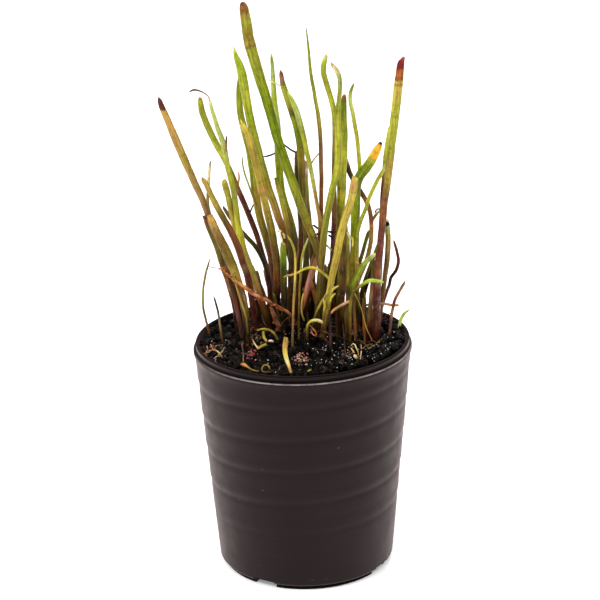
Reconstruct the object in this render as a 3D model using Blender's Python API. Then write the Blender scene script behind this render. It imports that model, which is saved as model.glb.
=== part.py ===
"""Potted creeping rush: fleshy leaves and stems rooted in black grit in a small plastic nursery pot."""

import bpy
import bmesh
from collections import namedtuple
from math import cos, pi, radians, sin
from mathutils import Vector

# Pot, in metres: outside sizes of a 6 cm nursery pot
POT_HEIGHT = 0.0653
RIM_RADIUS = 0.0300
SHOULDER_RADIUS = 0.02995
BASE_RADIUS = 0.0241
WALL = 0.0011
FLOOR = 0.0014
LIP_TOP = 0.0634
LIP_EDGE = 0.0022
LIP_FLARE = 0.6
FLARE_START = 0.0600
RING_RADIUS = 0.0293
RING_THICKNESS = 0.0009
FOOT_RADIUS = 0.0229
FOOT_HEIGHT = 0.0013
CORNER = 0.0010
CORNER_FIRST_ANGLE = radians(20)
CORNER_STEPS = 4
EDGE_BREAK = 0.0002
POT_SEGMENTS = 44
SHARP_ANGLE = radians(35)

# Drain holes in the floor and drain slots in the bottom edge
HOLE_COUNT = 5
HOLE_RADIUS = 0.0022
HOLE_CIRCLE = 0.0140
HOLE_SIDES = 12
HOLE_FIRST_ANGLE = radians(17)
SLOT_COUNT = 4
SLOT_FIRST_ANGLE = radians(-30)
SLOT_WIDTH = 0.0066
SLOT_HEIGHT = 0.0022
SLOT_REACH = 0.0070

# Grit: a bed whose top slopes up a little to the right and down a little away from the viewer
SOIL_TOP = 0.0633
SOIL_SLOPE_ACROSS = 0.035
SOIL_SLOPE_BACK = -0.04
SOIL_SEGMENTS = 32
SOIL_RINGS = 3
GAP = 0.0003
FOOT_CLEARANCE = 0.0012
FOOT_PASSES = 3

# Place of the eye that the leaves are traced from: distance and height from the pot's foot,
# downward tilt, turn about the line of sight, and the focal length in pixels of a 600 by 600 frame
EYE = Vector((-0.00047, -0.6088, 0.2973))
EYE_TILT = 0.3484
EYE_ROLL = -0.0202
AHEAD = Vector((0, cos(EYE_TILT), -sin(EYE_TILT)))
LEVEL = Vector((1, 0, 0))
RIGHT = LEVEL * cos(EYE_ROLL) + LEVEL.cross(AHEAD) * sin(EYE_ROLL)
UP = RIGHT.cross(AHEAD)
FOCAL_PIXELS = 2377.0
FRAME_CENTRE = 300.0

# Leaves are slightly flattened tubes
LEAF_SIDES = 6
LEAF_THICKNESS = 0.80
FEWEST_STATIONS = 3

GREEN = (0.20, 0.29, 0.02)
DEEP_GREEN = (0.12, 0.20, 0.01)
YELLOW_GREEN = (0.40, 0.42, 0.05)
OLIVE = (0.19, 0.14, 0.02)
OCHRE = (0.55, 0.44, 0.09)
TAN = (0.50, 0.27, 0.08)
CREAM = (0.75, 0.62, 0.32)
ORANGE = (0.75, 0.33, 0.12)
RED_BROWN = (0.22, 0.06, 0.03)
MAROON = (0.10, 0.02, 0.02)
DARK_BROWN = (0.05, 0.03, 0.01)
POT_CHARCOAL = (0.040, 0.033, 0.035)
GRIT_BLACK = (0.006, 0.005, 0.005)
PLASTIC_ROUGHNESS = 0.45
GRIT_ROUGHNESS = 0.35
LEAF_ROUGHNESS = 0.40

# A leaf's trace runs from its tip to its foot: pixel across, pixel down, width in pixels.
# foot and tip are depths in millimetres behind the pot's axis, and bow bends the way between them.
Leaf = namedtuple("Leaf", "name colour foot tip bow trace")

LEAVES = (
    Leaf("tall_leaf", GREEN, 10, 16, 1, (
        (241.5, 2, 0), (242.6, 4, 5), (244, 9, 8.3), (245.8, 20, 9.6), (249, 40, 10.5), (254.3, 60, 10.5),
        (260.3, 80, 10), (266.5, 100, 9), (272.2, 120, 8.5), (277.8, 140, 8.5), (286, 163, 8.5),
        (298.5, 200, 8), (307, 222, 7.5), (314, 239, 7), (320.5, 262, 6.5), (322, 290, 6.2), (323, 335, 6))),
    Leaf("far_left_leaf", TAN, 13.5, 4, 1, (
        (158.5, 97, 0), (159.5, 100, 3.5), (162, 107, 5), (167.5, 120, 6), (175.5, 140, 7), (184.5, 160, 7),
        (193, 180, 6.5), (202.5, 200, 5.8), (208.5, 216, 5.5), (216, 235, 5.5), (224.5, 258, 5),
        (231.5, 280, 4.8), (237.5, 300, 4.5), (240, 320, 4.2), (241.5, 333, 4))),
    Leaf("dark_left_stub", MAROON, 10, 4, 1, (
        (204.6, 216, 0), (206, 218.5, 5), (209, 226, 6.5), (213, 236, 6.5), (217, 246, 6), (221, 260, 5.5),
        (225.5, 275, 5), (231.5, 292, 4.5), (235.5, 312, 4), (239, 335, 4))),
    Leaf("tan_left_stem", OLIVE, -1, 0.5, 1, (
        (210, 216, 0), (211, 219, 6), (214.5, 227, 7), (221, 241, 8), (227, 253, 9), (233, 267, 8.5),
        (237.5, 279, 7.5), (241.5, 292, 6.5), (244.5, 307, 6), (246.5, 325, 5.5), (247.5, 348, 5))),
    Leaf("slim_left_stem", RED_BROWN, 10.5, 3, 1, (
        (201.8, 177, 0), (203, 179.5, 3.5), (206, 184, 4.5), (213, 199, 5), (221, 214, 5.5), (230.5, 231, 6),
        (238, 247, 6.5), (243, 264, 6), (246, 272, 6), (249.5, 285, 5.5), (252, 302, 4.5), (255, 322, 4),
        (257, 334, 3.8))),
    Leaf("clear_tip_shoot", CREAM, 17.5, 20, 1, (
        (210.8, 160.5, 0), (210, 164, 2.5), (209, 175, 3), (208, 190, 3), (207.8, 203, 3), (210, 214, 3),
        (216, 232, 3), (226, 262, 3), (235, 295, 3), (240, 325, 3))),
    Leaf("curved_left_leaf", MAROON, 23, 28, 1, (
        (199.8, 97, 0), (200.2, 100, 4), (202, 111, 6), (205, 120, 6), (209, 129, 6), (217.5, 146, 6),
        (224.5, 159, 5.5), (231, 173, 5), (240, 194, 5), (249, 215, 5), (257, 236, 5), (263, 256, 4.7),
        (268, 275, 4.5), (271, 292, 4.2), (273.5, 310, 4), (275, 322, 4))),
    Leaf("curled_tip_leaf", YELLOW_GREEN, 15, 8, 1, (
        (209.5, 99, 0), (210, 101, 2), (212, 109, 3), (216.5, 124, 4), (223, 143, 5), (228, 168, 5),
        (233, 188, 5), (236, 208, 5), (239, 229, 6), (243.5, 250, 7), (249, 266, 7), (254.5, 281, 7),
        (260, 296, 6), (265, 312, 5), (268.5, 326, 4.5))),
    Leaf("cut_yellow_leaf", YELLOW_GREEN, 18.5, 11, 1, (
        (223.8, 180.5, 0), (224.2, 182, 5), (228.5, 198, 5.5), (232, 214, 5.5), (236, 229, 5.5),
        (241, 246, 5), (247, 264, 5), (252.5, 283, 5), (258, 303, 4.5), (263, 327, 4.5))),
    Leaf("grey_tip_shoot", OLIVE, 19.5, 15, 1, (
        (222.8, 206, 0), (224, 208, 2.5), (229, 216, 3.5), (236, 225, 3.5), (246, 236, 4), (255, 246, 4),
        (260.5, 255, 4), (265, 266, 4), (268, 280, 4), (269.5, 297, 4), (271, 322, 4))),
    Leaf("olive_leaf", OLIVE, 21, 26, 1, (
        (240.5, 71, 0), (240.2, 76, 3), (239.3, 90, 5), (240.2, 110, 6), (244.5, 131, 6.5), (249.5, 151, 7),
        (252.5, 171, 7), (255, 191, 7), (258.5, 211, 7), (263.8, 231, 7), (270, 251, 7), (274, 272, 6.5),
        (277, 300, 6), (279, 320, 6))),
    Leaf("pointed_green_leaf", GREEN, 15, 13, 1, (
        (233.5, 46, 0), (234.5, 50, 2), (236.5, 57, 4.5), (239.5, 65, 7), (242.5, 77, 8.5), (245.8, 96, 8),
        (249, 114, 7.5), (252.5, 130, 7.5), (258, 150, 7.5), (263, 170, 7), (269.5, 190, 7),
        (277.5, 215, 7), (285, 235, 7), (290.5, 255, 7), (294, 275, 6.5), (296.3, 300, 6), (297.3, 328, 6))),
    Leaf("ragged_tan_leaf", TAN, 16, 2, 1, (
        (242, 124, 0), (243.5, 127, 5), (247, 133, 6), (251, 146, 6.5), (255.5, 164, 6.5), (260, 182, 6.5),
        (264.5, 200, 6.5), (269.5, 220, 7), (273.5, 240, 7), (276.5, 260, 7), (276.5, 285, 7),
        (275.5, 305, 6), (275, 326, 6))),
    Leaf("back_green_leaf", GREEN, 23, 34, 1, (
        (271, 52, 0), (271.5, 57, 2), (272.5, 70, 3.5), (274.5, 100, 5), (277.5, 130, 6.5), (278.5, 158, 7),
        (282, 193, 6.5), (288, 213, 6.5), (293.5, 232, 6), (297, 255, 6), (299.5, 280, 5.5),
        (301.5, 310, 5), (302, 322, 5))),
    Leaf("dark_top_stem", OLIVE, 12, 6, 1, (
        (276, 178, 0), (276.8, 180.5, 4), (280.5, 195, 5), (285, 215, 5), (289, 235, 5), (291, 255, 5),
        (290.5, 280, 4.5), (289.5, 305, 4.5), (289, 331, 4.5))),
    Leaf("brown_tip_leaf", OLIVE, 19, 13, 1, (
        (280.5, 70, 0), (281, 73, 3), (282.5, 83, 4.5), (286.5, 95, 6), (292.5, 112, 7), (296.5, 125, 7),
        (300, 143, 7), (301.5, 165, 6.5), (302.5, 190, 6), (304.5, 215, 5.5), (306.5, 240, 5.5),
        (306, 265, 5.5), (303, 290, 5), (298.5, 321, 5))),
    Leaf("bulging_leaf", GREEN, 17, 7, 1.5, (
        (287.5, 91, 0), (288.5, 94, 2), (292, 100, 4), (295.5, 108, 5), (300.3, 124, 5), (304.3, 140, 4.5),
        (309.3, 164, 4), (313, 181, 3.5), (317.5, 206, 3), (320.2, 226, 3.5), (318.5, 246, 5),
        (315, 260, 6.5), (310, 282, 6.5), (306.5, 297, 6), (305, 330, 6))),
    Leaf("dark_brown_stub", DARK_BROWN, 21.5, 17, 1, (
        (298, 151, 0), (297.6, 153, 4.5), (297, 168, 5), (298, 184, 5), (300, 210, 5), (301, 235, 5),
        (299.5, 262, 5), (296.5, 290, 5), (294.5, 322, 4.5))),
    Leaf("pink_top_stub", YELLOW_GREEN, 20, 18.5, 1, (
        (304.8, 161.5, 0), (305.2, 163, 4), (305.8, 182, 5), (307, 202, 5), (309.5, 225, 5), (311.5, 243, 5),
        (312.5, 270, 5), (313, 300, 5), (313, 325, 5))),
    Leaf("needle_leaf", RED_BROWN, 17, 22, 1, (
        (306.3, 28, 0), (306.7, 32, 1), (308.3, 46, 2), (310.5, 70, 2.8), (314.5, 94, 3.3), (318.5, 118, 3.8),
        (320.5, 142, 4), (321.2, 175, 4), (321.3, 210, 4), (320.5, 245, 4), (320, 275, 4), (319, 300, 4),
        (318.5, 325, 4))),
    Leaf("bent_leaf_left", OLIVE, 11.5, 10, 1, (
        (326.3, 54, 0), (325.8, 57, 3.5), (324, 65, 5), (323.6, 73, 5.2), (327, 86, 5), (331.5, 100, 5),
        (334.3, 116, 4.8), (334.6, 140, 4.5), (334, 175, 4.5), (334, 213, 4.5), (332.5, 253, 4.5),
        (330, 275, 4.5), (329, 300, 4.5), (328.7, 332, 4.5))),
    Leaf("bent_leaf_right", GREEN, 8, 3, 1, (
        (331, 62.5, 0), (332.5, 65, 3), (336.5, 70, 4), (339.5, 78, 4), (340, 88, 4), (338.5, 103, 4.2),
        (337.5, 115, 5), (338.3, 140, 6), (337, 168, 6.5), (332.3, 191, 6.5), (327.3, 213, 6.5),
        (324, 235, 6.3), (322, 258, 6), (319.5, 283, 5.5), (318, 310, 5), (318, 338, 5))),
    Leaf("broad_green_leaf", GREEN, 18, 8.5, 1, (
        (344.5, 94, 0), (344.3, 96.5, 3.5), (343.8, 107, 5.5), (343.2, 120, 6.5), (343.2, 130, 8.5),
        (342.8, 144, 9), (342, 170, 8.5), (341.3, 195, 8), (339.5, 222, 8), (336.5, 250, 7), (336, 275, 6.5),
        (335.5, 300, 6), (335.5, 332, 5.5))),
    Leaf("yellow_front_stem", OCHRE, 3, -9, 1, (
        (355.2, 177.5, 0), (354.8, 180, 6.5), (352, 195, 7), (347.5, 211, 7), (342.5, 228, 7),
        (338.5, 246, 6.8), (334.5, 266, 6.5), (330.5, 285, 6.2), (328, 303, 6), (325, 321, 6),
        (322, 345, 5.5))),
    Leaf("orange_tip_leaf", DEEP_GREEN, 10, -4, 1.6, (
        (381.2, 142, 0), (380, 144.5, 4), (377, 150, 7), (372, 159, 8.5), (366, 168, 9), (361, 174, 8.8),
        (357.8, 181, 8.5), (356, 192, 8.5), (355.5, 215, 8.5), (354.7, 240, 8), (353.2, 270, 7.5),
        (352, 292, 6.5), (350.5, 312, 6), (349.5, 335, 5.5))),
    Leaf("slim_hooked_leaf", OLIVE, 16, 26, 1, (
        (353.8, 83, 0), (353, 85.5, 2), (350.8, 92, 3.3), (350.3, 101, 3.6), (353, 115, 3.8),
        (356.8, 136, 3.8), (359, 157, 3.8), (360, 175, 3.8), (359, 190, 3.5), (357.5, 205, 3.5),
        (357, 235, 3.5), (357, 270, 3.5), (356.5, 300, 3.5), (356, 326, 3.5))),
    Leaf("red_tip_stem", RED_BROWN, -1.5, -14, 1, (
        (404.3, 56.5, 0), (403, 59, 3), (401, 63, 6), (400, 70, 7.3), (399, 82, 8), (397, 98, 8.3),
        (394.3, 122, 8), (391.5, 146, 7.3), (389, 170, 6.5), (385.8, 194, 6), (382.8, 218, 6),
        (380.5, 243, 6.2), (378.5, 270, 6.4), (376.8, 300, 6.5), (376, 348, 6.5))),
    Leaf("right_strip", OLIVE, 5.5, 3, 1, (
        (390.3, 124, 0), (389.5, 128, 2.5), (386, 150, 3.5), (383.5, 175, 3.5), (382, 200, 3.5),
        (380.5, 225, 3.5), (379.5, 255, 3.5), (379, 290, 3.5), (378.5, 340, 3.5))),
    Leaf("diagonal_shoot", GREEN, 5.5, 0.5, 1, (
        (389.3, 159, 0), (388, 161.5, 2.5), (383, 171, 3.5), (376, 183, 3.5), (370.5, 195, 3.5),
        (365.5, 209, 3.5), (360, 223, 3.5), (357, 237, 3.5), (356.5, 255, 3.5), (357, 280, 3.5),
        (358.5, 310, 3.5), (359.5, 341, 3.5))),
    Leaf("brown_runner", RED_BROWN, 4.2, 13, 1, (
        (346, 160, 0), (346.8, 163, 4), (349, 171, 4.5), (355, 183, 4.5), (361.5, 193, 4.5), (367, 203, 4.3),
        (370.5, 214, 4), (371.5, 228, 4), (371, 243, 4), (366, 262, 4), (360, 277, 4), (356.5, 289, 3.5),
        (355, 305, 3), (355, 322, 2.5), (355, 341, 2.5))),
    Leaf("short_green_shoot", GREEN, 13, 7.5, 1, (
        (369.3, 230, 0), (368.6, 232, 3), (365.5, 242, 3.5), (361.5, 256, 3.5), (357.5, 270, 3.5),
        (354, 285, 3.5), (352.5, 305, 3.5), (352, 333, 3.5))),
    Leaf("bead_stem", TAN, 8, 6, 1, (
        (386.8, 219.5, 0), (387, 222, 4), (388, 236, 5), (387.8, 250, 5), (386.5, 264, 4.8), (385, 276, 4.5),
        (382.5, 295, 4.5), (380, 315, 4.3), (379, 336, 4))),
    Leaf("bent_maroon_stem", MAROON, 12, 16, 1, (
        (393.6, 239.5, 0), (394.2, 242, 2), (397, 253, 2.8), (398.3, 261, 3), (396, 270, 3), (391, 277.5, 3),
        (389.3, 285, 3), (385.5, 295, 3), (382, 306, 3), (380.5, 320, 3), (380.5, 332, 3))),
    Leaf("slim_right_stem", RED_BROWN, -3.5, 8, 1, (
        (405.4, 280.5, 0), (404.3, 283, 2.2), (400, 290.5, 2.8), (395, 300, 2.8), (392, 313, 2.8),
        (390, 328, 2.8), (388, 344, 3), (387.5, 350, 3))),
    Leaf("edge_sprout", YELLOW_GREEN, 5.0, 8.5, 1, (
        (409.5, 309.3, 0), (408, 310.6, 1.5), (404.5, 313.5, 2.6), (401.2, 319, 3), (399.4, 325, 3),
        (398.3, 332, 2.6))),
    Leaf("level_leaf", YELLOW_GREEN, -3.8, -8, 1, (
        (383.8, 282.3, 0), (382, 282, 2.5), (376, 281, 3.6), (369, 281, 3.5), (362.5, 284.5, 3),
        (356.5, 289.5, 2.6), (352, 295, 2.5), (350.5, 305, 2.5), (350.3, 325, 2.5), (350.5, 351, 2.5))),
    Leaf("green_diagonal_leaf", GREEN, 5, -1, 1, (
        (375, 253, 0), (373.8, 255, 3.5), (367.5, 260.5, 4.5), (361.5, 267, 4.5), (356, 277, 4.5),
        (351.5, 288, 4.5), (348.8, 302, 4.3), (347, 322, 4), (346.5, 342, 4))),
    Leaf("olive_diagonal_leaf", OLIVE, 11.5, 8, 1, (
        (379.5, 241, 0), (378.5, 244, 3), (375, 254, 4), (369.5, 269, 4), (364.5, 283, 4), (361, 297, 4),
        (360, 315, 3.6), (360.5, 334, 3.5))),
    Leaf("front_brown_stem", OLIVE, 3.5, 1, 1, (
        (345, 222, 0), (344.8, 225, 5), (344, 240, 6.5), (343, 270, 6.5), (341.5, 295, 6), (341, 315, 5.5),
        (342, 344, 5))),
    Leaf("thin_olive_stem", OLIVE, 0, -1, 1, (
        (348.8, 232, 0), (348.6, 235, 3), (348, 262, 4), (347.6, 295, 4), (347.2, 325, 3.8),
        (348, 348, 3.5))),
    Leaf("thin_right_stem", OLIVE, 3.8, 3.5, 1, (
        (364.5, 292, 0), (364.7, 295, 2), (365.5, 318, 2.5), (366, 344, 2.5))),
    Leaf("thin_brown_stem", RED_BROWN, 3, 4, 1, (
        (371.3, 287, 0), (371.4, 290, 2), (371.2, 318, 2.5), (371, 345, 2.5))),
    Leaf("yellow_curved_stem", OCHRE, -4.5, -2, 1, (
        (353.2, 290, 0), (354, 292.5, 2), (357, 298, 2.6), (361, 308, 2.6), (364, 319, 2.6), (367, 330, 2.2),
        (371, 338, 1.6), (374.5, 351, 1.2))),
    Leaf("cream_hook", CREAM, 1, -2, 1, (
        (323, 323.5, 0), (321.8, 322.2, 3), (317.5, 320.3, 3.6), (312, 320.8, 3.6), (308.3, 324, 3.4),
        (307, 330, 3.2), (307.3, 338, 3), (308, 346, 3))),
    Leaf("pale_front_stem", OCHRE, -3, 0, 1, (
        (287.5, 235, 0), (288.3, 237, 2.5), (291.5, 242, 3.3), (294.5, 250, 3.5), (295.7, 262, 3.5),
        (295, 280, 3.5), (294, 300, 3.5), (293, 318, 3.5), (292.5, 350, 3.3))),
    Leaf("pale_thin_shoot", YELLOW_GREEN, 4, 7, 1, (
        (308.3, 238, 0), (307.5, 240, 1.5), (303, 252, 2), (301, 267, 2), (299.5, 290, 2), (299, 315, 2),
        (299, 341, 2))),
    Leaf("short_green_stem", DEEP_GREEN, 9, 5, 1, (
        (282.8, 243.5, 0), (283, 246, 5), (283.5, 262, 6), (284, 285, 6), (284.5, 310, 5.5),
        (285, 336, 5.5))),
    Leaf("dead_orange_strip", ORANGE, 10, -4.5, 0.5, (
        (208.8, 265.5, 0), (211, 267.3, 1.2), (219, 268.3, 1.8), (226, 272.5, 2.8), (234, 279.5, 3.8),
        (243, 286, 4.3), (253, 293.5, 4.5), (262, 298.5, 4.5), (271, 302.5, 4.3), (281, 308.3, 4),
        (289, 313.5, 3.6), (296, 322, 3), (301, 333, 2.6))),
    Leaf("orange_stub", ORANGE, 12, 9, 1, (
        (271, 307.5, 0), (271.8, 309.5, 4.5), (274.5, 317, 5.3), (278, 325.5, 5), (281, 333, 4.5))),
    Leaf("cream_root_stub", CREAM, -26.5, -9, 1, (
        (285.8, 338, 0), (285.7, 340, 6), (285, 350, 6), (286.8, 360, 5.5), (290.2, 370, 4.3),
        (293.5, 378, 3.2))),
    Leaf("thin_left_blade", OLIVE, 7, 6, 1, (
        (209.7, 259, 0), (209, 262, 1.3), (205.5, 275, 2), (203.2, 290, 2), (203.2, 306, 2), (206, 320, 2.2),
        (209, 332, 2.2), (210, 340, 2.2))),
    Leaf("grey_left_twig", DARK_BROWN, 0, 2, 1, (
        (213.6, 296, 0), (214.5, 298.5, 1.6), (217.8, 310, 2), (220, 325, 2), (222.5, 341, 2),
        (225.5, 349, 2))),
    Leaf("front_rootlet", TAN, -20, -4, 1, (
        (342.8, 324, 0), (343, 327, 2.5), (344.3, 343, 3), (346, 358, 3), (347, 370, 3))),
    Leaf("maroon_front_stem", MAROON, -9.5, -5, 1, (
        (329.8, 310, 0), (329.8, 313, 3), (330.3, 330, 4), (331, 345, 4), (331.5, 357, 4))),
)


def clear_scene():
    """Remove whatever the file holds before the model is made."""
    for old in list(bpy.data.objects):
        bpy.data.objects.remove(old, do_unlink=True)


def plain_material(name, colour, roughness):
    """A Principled material of one colour."""
    material = bpy.data.materials.new(name)
    material.use_nodes = True
    shader = material.node_tree.nodes["Principled BSDF"]
    shader.inputs["Base Color"].default_value = (*colour, 1.0)
    shader.inputs["Roughness"].default_value = roughness
    shader.inputs["Metallic"].default_value = 0.0
    return material


def add_object(name, bm, material=None):
    """Put a finished bmesh in the scene under its name."""
    bmesh.ops.recalc_face_normals(bm, faces=bm.faces)
    mesh = bpy.data.meshes.new(name)
    bm.to_mesh(mesh)
    bm.free()
    obj = bpy.data.objects.new(name, mesh)
    bpy.context.scene.collection.objects.link(obj)
    if material:
        mesh.materials.append(material)
    return obj


def turned(profile, segments):
    """A closed turned shape; the profile's first and last points lie on the axis."""
    bm = bmesh.new()
    rings = []
    for radius, height in profile[1:-1]:
        ring = []
        for k in range(segments):
            angle = 2 * pi * k / segments
            ring.append(bm.verts.new((radius * sin(angle), -radius * cos(angle), height)))
        rings.append(ring)
    for low, high in zip(rings, rings[1:]):
        for k in range(segments):
            n = (k + 1) % segments
            bm.faces.new((low[k], low[n], high[n], high[k]))
    for pole_height, ring in ((profile[0][1], rings[0]), (profile[-1][1], rings[-1])):
        pole = bm.verts.new((0, 0, pole_height))
        for k in range(segments):
            bm.faces.new((pole, ring[k], ring[(k + 1) % segments]))
    return bm


def side_radius(height):
    """Outside radius of the pot's tapered side."""
    return BASE_RADIUS + (SHOULDER_RADIUS - BASE_RADIUS) * height / POT_HEIGHT


def pot_profile():
    """Outline of the pot's wall, from under the floor, up the outside, and down the inside."""
    side_foot = FOOT_HEIGHT + CORNER
    points = [(0, 0), (FOOT_RADIUS, 0), (FOOT_RADIUS, FOOT_HEIGHT)]
    corner_centre = side_radius(side_foot) - CORNER
    for k in range(1, CORNER_STEPS + 1):
        angle = CORNER_FIRST_ANGLE + (pi / 2 - CORNER_FIRST_ANGLE) * k / CORNER_STEPS
        points.append((corner_centre + CORNER * sin(angle), side_foot - CORNER * cos(angle)))
    lip_foot = LIP_TOP - LIP_EDGE * LIP_FLARE
    inside_top = RING_RADIUS - RING_THICKNESS
    points.append((side_radius(FLARE_START), FLARE_START))
    points.append((side_radius(lip_foot) + EDGE_BREAK, lip_foot))
    points.append((RIM_RADIUS, LIP_TOP - 2 * EDGE_BREAK))
    points.append((RIM_RADIUS - EDGE_BREAK, LIP_TOP))
    points.append((RING_RADIUS, LIP_TOP))
    points.append((RING_RADIUS, POT_HEIGHT - EDGE_BREAK))
    points.append((RING_RADIUS - EDGE_BREAK, POT_HEIGHT))
    points.append((inside_top, POT_HEIGHT))
    points.append((side_radius(FLARE_START) - WALL, FLARE_START))
    points.append((side_radius(side_foot) - WALL, side_foot))
    points.append((side_radius(0) - WALL - CORNER / 2, FLOOR))
    points.append((0, FLOOR))
    return points


def inner_radius(height):
    """Radius of the pot's inside at a height between the corner and the rim."""
    if height >= FLARE_START:
        top = RING_RADIUS - RING_THICKNESS
        low = side_radius(FLARE_START) - WALL
        return low + (top - low) * (height - FLARE_START) / (POT_HEIGHT - FLARE_START)
    return side_radius(height) - WALL


def add_cutter(target, name, bm):
    """Cut a closed shape out of the target."""
    cutter = add_object(name, bm)
    cutter.hide_render = True
    cutter.display_type = "WIRE"
    cut = target.modifiers.new(name, "BOOLEAN")
    cut.operation = "DIFFERENCE"
    cut.solver = "EXACT"
    cut.object = cutter
    return cutter


def build_pot():
    """The nursery pot, with drain holes in its floor and slots in its bottom edge."""
    material = plain_material("pot plastic", POT_CHARCOAL, PLASTIC_ROUGHNESS)
    pot = add_object("pot", turned(pot_profile(), POT_SEGMENTS), material)
    for k in range(HOLE_COUNT):
        angle = HOLE_FIRST_ANGLE + 2 * pi * k / HOLE_COUNT
        bm = bmesh.new()
        bmesh.ops.create_cone(bm, cap_ends=True, segments=HOLE_SIDES, radius1=HOLE_RADIUS,
                              radius2=HOLE_RADIUS, depth=4 * FLOOR)
        cutter = add_cutter(pot, f"drain_hole_{k}", bm)
        cutter.location = (HOLE_CIRCLE * sin(angle), -HOLE_CIRCLE * cos(angle), 0)
    for k in range(SLOT_COUNT):
        angle = SLOT_FIRST_ANGLE + 2 * pi * k / SLOT_COUNT
        bm = bmesh.new()
        bmesh.ops.create_cube(bm, size=1.0)
        bmesh.ops.scale(bm, vec=(SLOT_WIDTH, SLOT_REACH, 2 * SLOT_HEIGHT), verts=bm.verts)
        cutter = add_cutter(pot, f"drain_slot_{k}", bm)
        cutter.location = (BASE_RADIUS * sin(angle), -BASE_RADIUS * cos(angle), 0)
        cutter.rotation_euler = (0, 0, angle)
    pot.data.shade_smooth()
    pot.data.set_sharp_from_angle(angle=SHARP_ANGLE)


def soil_height(point):
    """Height of the grit's top under or over a point."""
    return SOIL_TOP + SOIL_SLOPE_ACROSS * point.x + SOIL_SLOPE_BACK * point.y


def clearance(point):
    """How far a point is over the grit."""
    return point.z - soil_height(point)


def build_soil():
    """The bed of grit, which fills the pot to just under its rim."""
    low = FOOT_HEIGHT + CORNER + GAP
    profile = [(0, low), (inner_radius(low) - GAP, low), (inner_radius(FLARE_START) - GAP, FLARE_START)]
    edge = inner_radius(SOIL_TOP) - 2 * GAP
    profile.append((edge, SOIL_TOP))
    for k in range(1, SOIL_RINGS):
        profile.append((edge * (1 - k / SOIL_RINGS), SOIL_TOP))
    profile.append((0, SOIL_TOP))
    bm = turned(profile, SOIL_SEGMENTS)
    for vert in bm.verts:
        if vert.co.z > FLARE_START + GAP:
            vert.co.z = soil_height(vert.co)
    add_object("soil", bm, plain_material("black grit", GRIT_BLACK, GRIT_ROUGHNESS))


def seen_at(across, down, depth):
    """The point at a depth behind the pot's axis that the eye sees at a pixel."""
    ray = AHEAD + (RIGHT * (across - FRAME_CENTRE) + UP * (FRAME_CENTRE - down)) / FOCAL_PIXELS
    return EYE + ray * (depth - EYE.y) / ray.y


def pixel_size(point):
    """Metres that one pixel covers at a point."""
    return (point - EYE).dot(AHEAD) / FOCAL_PIXELS


def leaf_stations(leaf):
    """Centres and half widths along a leaf, from its tip to its foot on the grit."""
    lengths = [0.0]
    for a, b in zip(leaf.trace, leaf.trace[1:]):
        step = Vector((b[0] - a[0], b[1] - a[1])).length
        lengths.append(lengths[-1] + step)
    stations = []
    for (across, down, width), length in zip(leaf.trace, lengths):
        rise = 1 - length / lengths[-1]
        depth = (leaf.foot + (leaf.tip - leaf.foot) * rise ** leaf.bow) / 1000
        centre = seen_at(across, down, depth)
        stations.append((centre, width / 2 * pixel_size(centre)))
    return stand_on_grit(stations)


def stand_on_grit(stations):
    """Move the last station along its own line until the leaf's foot is just clear of the grit."""
    while len(stations) > FEWEST_STATIONS and clearance(stations[-2][0]) < FOOT_CLEARANCE:
        stations.pop()
    above = stations[-2][0]
    foot, half_width = stations[-1]
    line = (foot - above).normalized()
    sideways = Vector((line.x, line.y)).length
    for _ in range(FOOT_PASSES):
        level = soil_height(foot) + GAP + half_width * sideways
        foot = above + line * (level - above.z) / line.z
    stations[-1] = (foot, half_width)
    return stations


def leaf_mesh(stations):
    """A closed tube with a flattened section and a pointed tip through the stations."""
    bm = bmesh.new()
    tip = bm.verts.new(stations[0][0])
    rings = []
    for k in range(1, len(stations)):
        centre, half_width = stations[k]
        after = stations[min(k + 1, len(stations) - 1)][0]
        along = (after - stations[k - 1][0]).normalized()
        sight = (centre - EYE).normalized()
        side = along.cross(sight).normalized()
        front = side.cross(along).normalized()
        ring = []
        for j in range(LEAF_SIDES):
            angle = 2 * pi * j / LEAF_SIDES
            offset = side * half_width * cos(angle) + front * half_width * LEAF_THICKNESS * sin(angle)
            ring.append(bm.verts.new(centre + offset))
        rings.append(ring)
    for j in range(LEAF_SIDES):
        bm.faces.new((tip, rings[0][j], rings[0][(j + 1) % LEAF_SIDES]))
    for upper, lower in zip(rings, rings[1:]):
        for j in range(LEAF_SIDES):
            n = (j + 1) % LEAF_SIDES
            bm.faces.new((upper[j], lower[j], lower[n], upper[n]))
    bm.faces.new(rings[-1])
    return bm


def build_leaf(leaf):
    """One leaf or stem as its own solid."""
    material = plain_material(leaf.name.replace("_", " "), leaf.colour, LEAF_ROUGHNESS)
    obj = add_object(leaf.name, leaf_mesh(leaf_stations(leaf)), material)
    obj.data.shade_smooth()


def main():
    clear_scene()
    build_pot()
    build_soil()
    for leaf in LEAVES:
        build_leaf(leaf)


main()
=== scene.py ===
"""Looks of the potted creeping rush: the pot, the wet grit, the leaves and stems, and the bits between."""

import random
from collections import namedtuple
from functools import lru_cache
from math import ceil, cos, exp, pi, radians, sin, sqrt

import bmesh
import bpy
from mathutils import Matrix, Vector, noise
from mathutils.bvhtree import BVHTree


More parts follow.
